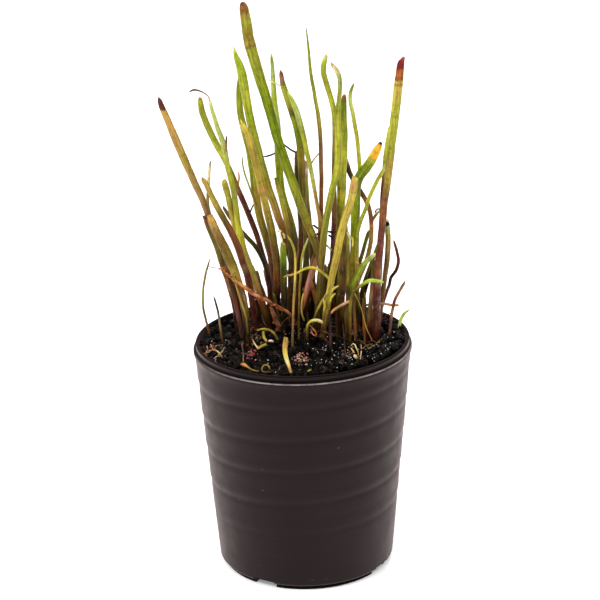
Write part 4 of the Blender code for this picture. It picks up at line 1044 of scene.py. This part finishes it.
def tube(bm, stations, tip, seed, crease, septa=0, rooted=0.0, scars=(), swell=SWELL, crumple=0.0,
         sides=LEAF_SIDES):
    """Add a fine fleshy tube through the stations to a mesh. Returns its centres and their lengths."""
    rng = random.Random(seed)
    places, widths, lengths = split(stations)
    total = lengths[-1]
    count = max(FEWEST_RINGS, ceil((total + rooted) / RING_SPACING))
    steps = [(total + rooted) * k / count for k in range(count + 1)]
    walls = wall_places(rng, septa, total)
    drift = rng.uniform(0, 100)
    phase = rng.uniform(0, TURN)
    centres = []
    rings = []
    for at in steps:
        inside = min(at, total)
        centre = eased(places, lengths, inside)
        if at > total:
            centre = centre + (places[-1] - places[-2]).normalized() * (at - total)
        width = max(THINNEST, max(0.2 * widths[1], eased(widths, lengths, inside)) + swell)
        if at < lengths[1]:
            width = max(THINNEST, (widths[1] + swell) * tip_share(tip, at / lengths[1]))
        sway = min(1.0, at / STEADY_END) * min(1.0, max(0.0, total - at) / STEADY_END)
        centre = centre + wander(WANDER, drift, at) * sway
        centres.append(centre + wander(CRUMPLED_WANDER, drift, at) * sway * crumple)
        wall = sum(strength * exp(-((at - place) / SEPTUM_HALF_WIDTH) ** 2) for place, strength in walls)
        pinch = 1 - SEPTUM_PINCH * wall + wave(PINCH, drift, at) + crumple * wave(CRUMPLED_PINCH, drift, at)
        rings.append((at, max(width * pinch, 0.02 * MM), min(wall, 1.0)))
    flatness = LEAF_THICKNESS * (1 - 0.5 * crumple)
    along_layer, wall_layer, scar_layer = (bm.verts.layers.float[n] for n in ("along", "septum", "scar"))
    skin_layer = bm.verts.layers.float_vector["skin"]
    made = []
    for k, (at, width, wall) in enumerate(rings):
        before = centres[max(0, k - 2)]
        after = centres[min(len(centres) - 1, k + 2)]
        along = (after - before).normalized()
        side = along.cross((centres[k] - EYE).normalized()).normalized()
        front = side.cross(along).normalized()
        twist = crumple * wave(CRUMPLED_TWIST, drift, at)
        side, front = side * cos(twist) + front * sin(twist), front * cos(twist) - side * sin(twist)
        ring = []
        for j in range(sides):
            angle = TURN * j / sides
            c, s = cos(angle), sin(angle)
            lumps = noise.noise(Vector((c * 1.4, s * 1.4 + drift, at * FOLD_WAVES)))
            fold = 1 + crease * (cos(3 * angle + phase + at * 60) * 0.6 + lumps)
            spot = centres[k] + (side * c + front * flatness * s) * width * fold
            if tip == "ragged" and at < TEAR_REACH * width:
                tear = noise.noise(Vector((c * 1.8 + drift, s * 1.8, 0)))
                spot = spot + along * tear * TEAR_DEPTH * (TEAR_REACH * width - at)
            elif tip == "cut" and at < width:
                spot = spot + along * (CUT_SLANT * cos(angle + phase)) * (width - at)
            vert = bm.verts.new(spot)
            vert[along_layer] = min(1.0, at / total)
            vert[wall_layer] = wall
            vert[skin_layer] = (c * width / MM, s * width / MM, at / MM + drift)
            for down, turn, reach in scars:
                far = (pixel_down(vert.co) - down) / reach
                off = max(0.0, cos(angle - turn))
                vert[scar_layer] = max(vert[scar_layer], exp(-far * far * 2) * off ** 3)
            ring.append(vert)
        made.append(ring)
    for upper, lower in zip(made, made[1:]):
        bridge(bm, upper, lower)
    close_end(bm, made[0], centres[0], centres[1], tip in ("cut", "ragged"))
    close_end(bm, made[-1], centres[-1], centres[-2], False)
    return centres, steps


def close_end(bm, ring, centre, inner, hollow):
    """Cap a tube's end: with a shallow dish if hollow, or else with a point."""
    layers = [bm.verts.layers.float["along"], bm.verts.layers.float_vector["skin"]]
    if hollow:
        inward = (inner - centre).normalized() * (ring[0].co - centre).length * DISH_DEPTH
        dish = []
        for vert in ring:
            low = bm.verts.new(centre + (vert.co - centre) * DISH_WIDTH + inward)
            for layer in layers:
                low[layer] = vert[layer]
            dish.append(low)
        bridge(bm, ring, dish)
        ring = dish
        centre = centre + inward * 1.2
    pole = cap(bm, ring, centre)
    for layer in layers:
        pole[layer] = ring[0][layer]


# Pieces drawn thinner than their solids, in millimetres off the half width
SHRINK = {
    "dead_orange_strip": 0.10, "orange_stub": 0.12, "front_rootlet": 0.22,
    "maroon_front_stem": 0.10, "cream_root_stub": 0.16, "pale_front_stem": 0.14,
    "cream_hook": 0.05, "thin_olive_stem": 0.05, "yellow_curved_stem": 0.22,
}

# Dark scars: pixels down the photo, angle round the leaf, and half length in pixels
SCARS = {
    "brown_tip_leaf": ((108, 0.4, 5), (113, 1.2, 4)),
    "tall_leaf": ((66, 1.9, 3), (98, 1.3, 4)),
    "pointed_green_leaf": ((118, 1.4, 3),),
}

# Leaves with a torn husk round the foot: its share of the leaf's length, and how fibrous it is
HUSKS = {
    "tall_leaf": (0.20, 0.8), "pointed_green_leaf": (0.24, 0.9), "ragged_tan_leaf": (0.30, 1.0),
    "back_green_leaf": (0.22, 0.7), "bulging_leaf": (0.18, 0.9), "brown_tip_leaf": (0.25, 0.8),
    "needle_leaf": (0.16, 0.8), "bent_leaf_left": (0.20, 0.7), "bent_leaf_right": (0.17, 0.8),
    "broad_green_leaf": (0.19, 0.7), "orange_tip_leaf": (0.24, 0.7), "curled_tip_leaf": (0.13, 1.0),
    "curved_left_leaf": (0.24, 0.8), "olive_leaf": (0.26, 0.9), "far_left_leaf": (0.22, 0.9),
    "tan_left_stem": (0.42, 1.0), "slim_left_stem": (0.36, 0.8), "cut_yellow_leaf": (0.26, 1.0),
    "dark_top_stem": (0.30, 0.7), "front_brown_stem": (0.40, 1.0), "thin_olive_stem": (0.34, 0.8),
    "dark_left_stub": (0.45, 0.8), "red_tip_stem": (0.12, 0.4),
}
HUSK_STATIONS = 9
HUSK_WIDER = 1.05
HUSK_GAP = 0.06 * MM


def build_husk(name, stations, stops, seed):
    """The torn, fibrous sheath round the lowest part of a leaf."""
    share, fibrous = HUSKS[name]
    places, widths, lengths = split(stations)
    start = 1 - share
    low = []
    for k in range(HUSK_STATIONS):
        at = lengths[-1] * (start + share * k / (HUSK_STATIONS - 1))
        width = eased(widths, lengths, at) * HUSK_WIDER + HUSK_GAP
        low.append((eased(places, lengths, at), width))
    bm = new_skin()
    tube(bm, low, "ragged", seed, 0.09, rooted=ROOTED)
    moved = [(max(0.0, (place - start) / share), colour) for place, colour in stops if place > start - 0.1]
    if len(moved) < 2:
        moved = [(0.0, stops[-2][1]), (1.0, stops[-1][1])]
    name += "_husk"
    # 0.5 is the painted shade towards the foot
    add_piece(name, bm, leaf_material(name, moved, 0.6, fibrous, 0.5, 0.0))


def build_leaf(look, seed):
    """A fine leaf in place of its CAD solid."""
    stations = leaf_rings(look.name)
    _, widths, lengths = split(stations)
    crumple = 0.5 if look.slot == "orange_leaf" else 0.0
    swell = 0.0 if look.slot == "cream_root" else SWELL * min(1.0, max(widths) / FULL_SWELL_WIDTH)
    if look.name in SHRINK:
        swell = -SHRINK[look.name] * MM
    flesh = 0.25 if look.slot in ("orange_leaf", "cream_root") else 1.0
    bm = new_skin()
    centres, steps = tube(bm, stations, look.tip, seed, look.crease, look.septa, ROOTED,
                          SCARS.get(look.name, ()), swell, crumple)
    inside = [k for k, step in enumerate(steps) if step <= lengths[-1]]
    stops = colour_stops(look.tints, [centres[k] for k in inside], [steps[k] for k in inside])
    material = leaf_material(look.name, stops, look.blotch, 0.9 * crumple, flesh=flesh)
    piece = add_piece(look.name + "_fine", bm, material)
    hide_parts(look.name)
    if look.name in HUSKS:
        build_husk(look.name, stations, stops, seed + 300)


def carrier_depth(name, down):
    """Depth of a leaf's spine where it crosses a pixel row."""
    nearest = min(leaf_rings(name), key=lambda ring: abs(pixel_down(ring[0]) - down))
    return nearest[0].y


def build_bit(bit, seed):
    """A thread, twig, curl or shred too small for a solid."""
    stations = []
    last = len(bit.trace) - 1
    for k, (across, down, width) in enumerate(bit.trace):
        lift = (bit.lift[0] + (bit.lift[1] - bit.lift[0]) * k / last) * MM
        if bit.carrier == "grit":
            point = kept_in_pot(on_grit(across, down, lift + BED_DROP), 0.7 * MM)
        else:
            point = seen_at(across, down, carrier_depth(bit.carrier, down) - lift)
        stations.append((point, width / 2 * pixel_size(point)))
    first, second = stations[0][0], stations[1][0]
    stations.insert(0, (first + (first - second) * 0.12, 0.0))
    bm = new_skin()
    tube(bm, stations, "round", seed, 0.08, swell=THREAD_SWELL)
    add_piece(bit.name, bm, leaf_material(bit.name, even_stops(bit.tints), 0.3, flesh=0.3))


# Thin stems inside the clump, behind the named ones: piece, how many, colours from the top to the foot
INNER_STEMS = (
    ("inner_stems_maroon", 15, "mauve, maroon, dark maroon, dark maroon, soot"),
    ("inner_stems_olive", 12, "green olive, olive brown, dark olive, dark olive, soot"),
    ("inner_stems_brown", 13, "tan, red brown, brown, dark brown, soot"),
    ("inner_stems_rust", 8, "orange tan, rust, red brown, brown, dark brown"),
)
INNER_ACROSS = (242, 358)
INNER_FEET_DOWN = 325
INNER_TOPS_DOWN = (262, 302)
INNER_UPRIGHT_ACROSS = 338
INNER_LEAN = 0.17
INNER_WIDTHS = (0.9, 2.2)
INNER_SHARES = (0.0, 0.06, 0.25, 0.5, 0.75, 1.0)


def build_inner_stems():
    """Fill the clump's inside with thin stems, which lean outwards like the named ones."""
    for name, count, tints in INNER_STEMS:
        rng = random.Random(name)
        bm = new_skin()
        for k in range(count):
            across = INNER_ACROSS[0] + (INNER_ACROSS[1] - INNER_ACROSS[0]) * (k + rng.random()) / count
            foot = kept_in_pot(on_grit(across, rng.gauss(INNER_FEET_DOWN, 5), -1.5 * MM), 4 * MM)
            across = pixel_across(foot)
            foot_down = pixel_down(foot)
            top_down = rng.uniform(*INNER_TOPS_DOWN)
            lean = INNER_LEAN * (across - INNER_UPRIGHT_ACROSS) + rng.gauss(0, 5)
            bow = rng.gauss(0, 2.0)
            width = rng.uniform(*INNER_WIDTHS) * pixel_size(foot)
            stations = []
            for share in INNER_SHARES:
                rise = 1 - share
                x = across + lean * rise * (foot_down - top_down) / 60 + bow * sin(pi * share)
                y = top_down + (foot_down - top_down) * share
                point = seen_at(x, y, foot.y * (1 + 0.12 * rise) + 1.2 * MM * rise)
                stations.append((point, width * (0.65 + 0.35 * share) if share else 0.0))
            tube(bm, stations, rng.choice(("point", "cut", "dry")), rng.random(), 0.07, 3.5, sides=10)
        # 0.5 is the painted shade towards the feet
        add_piece(name, bm, leaf_material(name, even_stops(tints), 0.6, 0.4, 0.5, 0.0))


# Tangles of curly shreds and fine roots: where on the grit or in front of a leaf, how many, and their
# length, width and greatest lift in millimetres
Tangle = namedtuple("Tangle", "name carrier across down half_across half_down count length width lift tints")

TANGLES = (
    Tangle("foot_fibres_left", "grit", 262, 322, 30, 14, 24, 7.0, 0.22, 3.0,
           "dark brown, maroon, brown, soot"),
    Tangle("foot_fibres_right", "grit", 350, 330, 24, 13, 18, 7.5, 0.17, 3.0,
           "soot, dark brown, maroon, soot"),
    Tangle("foot_fibres_pale", "grit", 352, 344, 20, 10, 6, 5.0, 0.13, 1.6,
           "dun, brown, olive brown, dark brown"),
    Tangle("left_debris_shreds", "grit", 209, 352, 7, 8, 22, 2.6, 0.30, 0.9,
           "orange tan, rust, salmon, red brown"),
    Tangle("left_debris_fibres", "grit", 216, 355, 7, 8, 9, 3.6, 0.12, 1.4, "grey, cream, grey, pink"),
    Tangle("grit_fibres", "grit", 300, 355, 85, 18, 22, 3.6, 0.13, 0.4,
           "dark brown, olive brown, dark grey, dark brown"),
    Tangle("strip_shreds", "dead_orange_strip", 0.12, 0.45, 0.5, 0.5, 9, 2.0, 0.20, 0.7,
           "rust, orange tan, red brown, crimson"),
    Tangle("strip_shreds_low", "dead_orange_strip", 0.45, 0.95, 0.6, 0.5, 10, 2.2, 0.20, 0.7,
           "red brown, rust, salmon, maroon"),
    Tangle("stub_shreds", "orange_stub", 0.05, 0.9, 0.7, 0.6, 7, 1.8, 0.22, 0.7,
           "rust, orange tan, red brown"),
)
SHRED_LINKS = 6


def tangle_start(tangle, rng, lift):
    """Where one shred of a tangle starts: on the grit, or against its carrier, where across and down are
    shares of the carrier's length and the halves are millimetres around it."""
    if tangle.carrier == "grit":
        across = tangle.across + tangle.half_across * rng.uniform(-1, 1)
        down = tangle.down + tangle.half_down * rng.uniform(-1, 1)
        return on_grit(across, down, lift)
    places = [place for place, _ in leaf_rings(tangle.carrier)]
    spot = rng.uniform(tangle.across, tangle.down) * (len(places) - 1)
    k = min(int(spot), len(places) - 2)
    spread = Vector((rng.gauss(0, tangle.half_across), 0, rng.gauss(0, tangle.half_down))) * MM * 0.5
    return places[k].lerp(places[k + 1], spot - k) + spread - Vector((0, lift, 0))


def build_tangles():
    """Curly shreds and fine roots round the feet of the stems, each kind joined in one mesh."""
    for tangle in TANGLES:
        rng = random.Random(tangle.name)
        bm = new_skin()
        for _ in range(tangle.count):
            point = tangle_start(tangle, rng, (0.2 + tangle.lift * rng.random()) * MM)
            heading = rng.uniform(0, TURN)
            climb = rng.uniform(-0.1, 1.1) * min(1.0, tangle.lift / 2)
            length = tangle.length * rng.uniform(0.5, 1.2) * MM
            width = tangle.width * rng.uniform(0.6, 1.2) * MM / 2
            stations = []
            for k in range(SHRED_LINKS + 1):
                point = kept_in_pot(point, 1.2 * MM)
                thickness = width * (0.5 + 0.5 * sin(pi * k / SHRED_LINKS)) if k else 0.0
                stations.append((point.copy(), thickness))
                heading += rng.gauss(0, 0.55)
                step = Vector((cos(heading), sin(heading), climb + rng.gauss(0, 0.25))).normalized()
                point = point + step * length / SHRED_LINKS
                point.z = max(point.z, soil_height(point) - 0.4 * MM)
            tube(bm, stations, "dry", rng.random(), 0.15, swell=0.0, crumple=0.5, sides=7)
        material = leaf_material(tangle.name, even_stops(tangle.tints), 0.6, 0.5, 0.0, 0.0)
        add_piece(tangle.name, bm, material)


def groove(height, angle):
    """How far the winding groove and the ridge over it move the pot's side."""
    level = (height - GROOVE_FRONT - GROOVE_PITCH * angle / TURN) / GROOVE_PITCH
    off = (level - round(level)) * GROOVE_PITCH
    fade = min(1.0, max(0.0, (height - GROOVE_LOWEST) / GROOVE_PITCH))
    fade *= min(1.0, max(0.0, (GROOVE_HIGHEST - height) / GROOVE_FADE))
    cut = GROOVE_DEPTH * exp(-(off / GROOVE_HALF_WIDTH) ** 2)
    return fade * (RIDGE_HEIGHT * exp(-((off - RIDGE_OFFSET) / RIDGE_HALF_WIDTH) ** 2) - cut)


def rim_shade(radius, height, angle):
    """1 for the painted black shade inside, on the ring's top and in the groove under the ring; below 0 for
    the painted highlight on the lip's edge, strongest at the front; else 0.
    """
    if height < LIP_TOP - 0.0010 and radius > side_radius(height) - WALL / 2:
        return 0.0
    if radius < RING_RADIUS - RING_THICKNESS / 2:
        return 1.0
    if radius < RING_RADIUS + 0.0003:
        return 0.0 if POT_HEIGHT - 0.0010 < height < POT_HEIGHT - 0.0003 else 0.95
    # Painted highlight on the lip's edge, strongest towards the front
    return -0.35 - 0.65 * cos(angle - 0.35) if height > LIP_TOP - 0.00025 else 0.0


# The ring's edges and foot: steps out and up, in millimetres, from its inner top, outer top and foot
RING_INNER_EDGE = ((0, -0.20), (0.08, -0.06), (0.22, 0))
RING_OUTER_EDGE = ((-0.22, 0), (-0.07, -0.06), (0, -0.22), (0, -0.40), (0, -0.90), (0, -1.20))
RING_FOOT = ((0, 0.22), (0.06, 0.05), (0.20, 0))


def inside_profile():
    """(radius, height) over the pot's floor, up its inside, over the ring and round the lip."""
    profile = [
        (0.0, FLOOR),
        (side_radius(0) - WALL - CORNER / 2, FLOOR),
        (side_radius(SIDE_FOOT) - WALL, SIDE_FOOT),
        (side_radius(FLARE_START) - WALL, FLARE_START),
    ]
    for radius, height, steps in (
            (RING_RADIUS - RING_THICKNESS, POT_HEIGHT, RING_INNER_EDGE),
            (RING_RADIUS, POT_HEIGHT, RING_OUTER_EDGE),
            (RING_RADIUS, LIP_TOP, RING_FOOT)):
        profile += [(radius + out * MM, height + up * MM) for out, up in steps]
    for k in range(7):
        angle = TURN / 4 * k / 6
        profile.append((RIM_RADIUS - LIP_ROUNDING + LIP_ROUNDING * sin(angle),
                        LIP_TOP - LIP_ROUNDING + LIP_ROUNDING * cos(angle)))
    return profile


def outside_profile():
    """(radius, height) from the lip's underside down the pot's side, round its foot and underneath."""
    profile = []
    flare_rows = 16
    for k in range(flare_rows):
        t = 1 - k / flare_rows
        height = FLARE_START + (LIP_UNDERSIDE - FLARE_START) * t
        flare = (RIM_RADIUS - side_radius(LIP_UNDERSIDE)) * t ** FLARE_CURVE
        profile.append((side_radius(height) + flare, height))
    side_rows = 200
    for k in range(side_rows + 1):
        height = FLARE_START + (SIDE_FOOT - FLARE_START) * k / side_rows
        profile.append((side_radius(height), height))
    corner_rows = 8
    for k in range(1, corner_rows + 1):
        angle = TURN / 4 - (TURN / 4 - CORNER_END) * k / corner_rows
        radius = side_radius(SIDE_FOOT) - CORNER + CORNER * sin(angle)
        profile.append((radius, SIDE_FOOT - CORNER * cos(angle)))
    bevel = 0.1 * MM
    profile += [(FOOT_RADIUS + bevel, FOOT_HEIGHT), (FOOT_RADIUS, FOOT_HEIGHT - bevel)]
    profile += [(FOOT_RADIUS, bevel), (FOOT_RADIUS - bevel, 0.0), (0.0, 0.0)]
    return profile


def build_pot():
    """The nursery pot with its lip, ring, winding groove, rounded foot, drain slots and drain holes."""
    inside = inside_profile()
    profile = inside + outside_profile()
    bm = bmesh.new()
    edge_layer = bm.verts.layers.float.new("edge")
    rings = []
    for k, (radius, height) in enumerate(profile[1:-1], start=1):
        ring = []
        for j in range(POT_SEGMENTS):
            angle = TURN * j / POT_SEGMENTS
            spot = Vector((sin(angle), cos(angle), height)) * SIDE_LUMP_WAVES
            reach = radius + SIDE_LUMPS * noise.noise(spot)
            if k >= len(inside):
                reach += groove(height, angle - TURN if angle > pi else angle)
            x, y = around(reach, angle)
            vert = bm.verts.new((x, y, height + RIM_TILT * x * (height / POT_HEIGHT) ** 6))
            # The edge layer carries the painted shade and the lip's painted highlight
            vert[edge_layer] = rim_shade(radius, height, angle)
            ring.append(vert)
        rings.append(ring)
    for low, high in zip(rings, rings[1:]):
        bridge(bm, low, high)
    cap(bm, rings[0], (0, 0, profile[0][1]))
    cap(bm, rings[-1], (0, 0, profile[-1][1]))
    pot = add_piece("pot_fine", bm, pot_material())
    cut_drains(pot)
    pot.data.set_sharp_from_angle(angle=SHARP_ANGLE)
    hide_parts("pot")


def cut_drains(pot):
    """Cut the drain holes and slots, and apply the cuts."""
    bm = bmesh.new()
    for k in range(HOLE_COUNT):
        made = bmesh.ops.create_cone(bm, cap_ends=True, segments=32, radius1=HOLE_RADIUS,
                                     radius2=HOLE_RADIUS, depth=4 * FLOOR)
        shift = (*around(HOLE_CIRCLE, HOLE_FIRST_ANGLE + TURN * k / HOLE_COUNT), 0)
        bmesh.ops.translate(bm, vec=shift, verts=made["verts"])
    for k in range(SLOT_COUNT):
        angle = SLOT_FIRST_ANGLE + TURN * k / SLOT_COUNT
        made = bmesh.ops.create_cube(bm, size=1.0)
        bmesh.ops.scale(bm, vec=SLOT_SIZE, verts=made["verts"])
        for vert in made["verts"]:
            vert.co.xy = turned(vert.co.x, vert.co.y - BASE_RADIUS, angle)
    cutter = add_mesh("drain_cutter", bm)
    cut = pot.modifiers.new("drains", "BOOLEAN")
    cut.operation = "DIFFERENCE"
    cut.solver = "EXACT"
    cut.object = cutter
    bpy.context.view_layer.update()
    shaped = pot.evaluated_get(bpy.context.evaluated_depsgraph_get())
    result = bpy.data.meshes.new_from_object(shaped)
    pot.modifiers.clear()
    pot.data = result
    bpy.data.objects.remove(cutter)


def bed_height(x, y):
    """Height of the grit's ground under the loose granules."""
    level = soil_height(Vector((x, y, 0))) - BED_DROP
    return level + GROUND_LUMPS * noise.noise(Vector((x * 260, y * 260, 3)))


def build_bed():
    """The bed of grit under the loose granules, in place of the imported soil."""
    bm = bmesh.new()
    kind = bm.verts.layers.float.new("kind")
    edge = inner_radius(SOIL_TOP) - BED_GAP
    rows = [(edge * k / BED_RINGS, None) for k in range(1, BED_RINGS + 1)]
    rows += [(side_radius(height) - WALL - BED_GAP, height) for height in (FLARE_START, BED_BOTTOM)]
    rings = []
    for radius, height in rows:
        ring = []
        for j in range(BED_SEGMENTS):
            x, y = around(radius, TURN * j / BED_SEGMENTS)
            ring.append(bm.verts.new((x, y, height or bed_height(x, y))))
        rings.append(ring)
    cap(bm, rings[0], (0, 0, bed_height(0, 0)))
    for first, second in zip(rings, rings[1:]):
        bridge(bm, first, second)
    cap(bm, rings[-1], (0, 0, BED_BOTTOM))
    for vert in bm.verts:
        vert[kind] = BED_KIND
    bed = add_piece("grit_bed", bm, grit_material("grit_bed", 0.7))
    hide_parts("soil")


def pebble(bm, kind_layer, centre, size, rng, kind, detail):
    """Add one lumpy granule to a mesh."""
    made = bmesh.ops.create_icosphere(bm, subdivisions=detail, radius=1.0)
    stretch = Vector((rng.uniform(0.75, 1.2), rng.uniform(0.75, 1.2), rng.uniform(0.7, 1.05)))
    turn = rng.uniform(0, TURN)
    tilt = rng.uniform(-0.7, 0.7)
    drift = Vector((rng.uniform(0, 90), rng.uniform(0, 90), rng.uniform(0, 90)))
    for vert in made["verts"]:
        lump = 1 + 0.30 * noise.noise(vert.co * 1.3 + drift) + 0.13 * noise.noise(vert.co * 3.1 + drift)
        x, y, z = (c * along * lump for c, along in zip(vert.co, stretch))
        y, z = turned(y, z, tilt)
        x, y = turned(x, y, turn)
        vert.co = centre + Vector((x, y, z)) * size
        vert[kind_layer] = kind


def heap(x, y):
    """Extra height of the granules: heaped all round the edge, most on the right and at the left back."""
    edge = inner_radius(SOIL_TOP)
    share = Vector((x, y)).length / edge
    right = max(0.0, x / edge) * share
    left_back = max(0.0, (-0.8 * x + 0.6 * y) / edge) * share ** 3
    heaped = HEAP_AT_EDGE * share ** 4 + HEAP_RIGHT * right + HEAP_LEFT_BACK * left_back
    return heaped + GROUND_LUMPS * noise.noise(Vector((x * 130, y * 130, 9)))


def build_granules():
    """Loose wet granules in four sizes, each joined in one mesh."""
    edge = inner_radius(SOIL_TOP)
    for name, seed, count, least, greatest, lift in GRANULES:
        rng = random.Random(seed)
        bm = bmesh.new()
        kind = bm.verts.layers.float.new("kind")
        placed = []
        tries = 0
        while len(placed) < count and tries < count * TRIES_FOR_EACH:
            tries += 1
            size = rng.uniform(least, greatest) * MM
            radius = (edge - size * 0.95) * sqrt(rng.random())
            x, y = around(radius, rng.uniform(0, TURN))
            if any((x - a) ** 2 + (y - b) ** 2 < (CLOSEST_GRANULES * (size + c)) ** 2 for a, b, c in placed):
                continue
            placed.append((x, y, size))
            level = bed_height(x, y) + heap(x, y) + lift * MM * rng.uniform(0.7, 1.1)
            pebble(bm, kind, Vector((x, y, level)), size, rng, rng.random(), 2)
        add_piece(name, bm, grit_material(name, 1.0))


def build_glints():
    """Tiny white specks on the tops of the granules: painted glints of light on the wet grit."""
    corners = []
    faces = []
    for name, *_ in GRANULES:
        mesh = bpy.data.objects[name].data
        first = len(corners)
        corners += [v.co.copy() for v in mesh.vertices]
        faces += [[first + v for v in face.vertices] for face in mesh.polygons]
    tree = BVHTree.FromPolygons(corners, faces)
    rng = random.Random(41)
    bm = bmesh.new()
    kind = bm.verts.layers.float.new("kind")
    edge = inner_radius(SOIL_TOP) - MM
    for _ in range(GLINTS):
        angle = rng.gauss(0.75, 0.38) if rng.random() < GLINTS_ON_RIGHT else rng.uniform(-pi, pi)
        start = Vector((*around(edge * rng.random() ** 0.42, angle), POT_HEIGHT + 10 * MM))
        spot = tree.ray_cast(start, Vector((0, 0, -1)))[0]
        if spot is not None:
            pebble(bm, kind, spot, rng.uniform(*GLINT_HALF_SIZES) * MM, rng, rng.random(), 1)
    # The specks are white: painted highlights
    add_piece("grit_glints", bm, crumb_material("grit_glints", "grey, white, white, white", 0.15))


def build_clusters():
    """Crumbs of dead plant on the grit."""
    for cluster in CLUSTERS:
        rng = random.Random(cluster.name)
        bm = bmesh.new()
        kind = bm.verts.layers.float.new("kind")
        for _ in range(cluster.count):
            across = cluster.across + cluster.half_across * max(-1, min(1, rng.gauss(0, 0.5)))
            down = cluster.down + cluster.half_down * max(-1, min(1, rng.gauss(0, 0.5)))
            size = cluster.size * rng.uniform(0.45, 1.15) * MM
            centre = kept_in_pot(on_grit(across, down, rng.uniform(0.1, 1.3) * MM), size)
            pebble(bm, kind, centre, size, rng, rng.random(), 2)
        add_piece(cluster.name, bm, crumb_material(cluster.name, cluster.tints))


def build_bead():
    """The small black bead on the end of the bead stem."""
    across, down, half_width = BEAD
    centre = seen_at(across, down, carrier_depth("bead_stem", down) - BEAD_LIFT)
    bm = bmesh.new()
    kind = bm.verts.layers.float.new("kind")
    pebble(bm, kind, centre, half_width * pixel_size(centre), random.Random(5), 0.2, 3)
    add_piece("black_bead", bm, grit_material("black_bead", 0.8))


def build_stage():
    """A plain white floor."""
    bm = bmesh.new()
    bmesh.ops.create_grid(bm, x_segments=1, y_segments=1, size=FLOOR_HALF_SIZE)
    floor = add_mesh("floor", bm)
    material = Shader("floor_white").finish(
        Base_Color=FLOOR_WHITE, Roughness=0.9, Specular_IOR_Level=0.1, Emission_Color=WHITE,
        Emission_Strength=0.25)
    floor.data.materials.append(material)


def aimed(direction):
    """The turn that points a light along a direction."""
    return direction.to_track_quat("-Z", "Y").to_euler()


def build_lights():
    """A wide soft sun, small lights for glints, and an even pale surround."""
    data = bpy.data.lights.new("sun", "SUN")
    data.energy = SUN_STRENGTH
    data.angle = SUN_WIDTH
    add_object("sun", data).rotation_euler = aimed(SUN_AIM)
    for name, place, size, power in LIGHTS:
        data = bpy.data.lights.new(name, "AREA")
        data.energy = power
        data.size = size
        light = add_object(name, data)
        light.location = place
        light.rotation_euler = aimed(LIGHT_TARGET - Vector(place))
    world = bpy.data.worlds.new("studio")
    bpy.context.scene.world = world
    world.use_nodes = True
    surround = world.node_tree.nodes["Background"]
    surround.inputs["Color"].default_value = WHITE
    surround.inputs["Strength"].default_value = WORLD_STRENGTH


def build_camera():
    """The photo's viewing angle."""
    data = bpy.data.cameras.new("camera")
    data.sensor_width = SENSOR_WIDTH
    data.lens = SENSOR_WIDTH * FOCAL_PIXELS / FRAME_PIXELS
    camera = add_object("camera", data)
    camera.location = EYE
    camera.rotation_euler = Matrix((RIGHT, UP, -AHEAD)).transposed().to_euler()
    bpy.context.scene.camera = camera


def main():
    bpy.context.scene.view_settings.view_transform = "Standard"
    build_camera()
    build_lights()
    build_stage()
    build_pot()
    build_bed()
    build_granules()
    build_glints()
    build_clusters()
    build_bead()
    for seed, look in enumerate(LOOKS):
        build_leaf(look, seed)
    for seed, bit in enumerate(BITS):
        build_bit(bit, 500 + seed)
    build_inner_stems()
    build_tangles()


main()
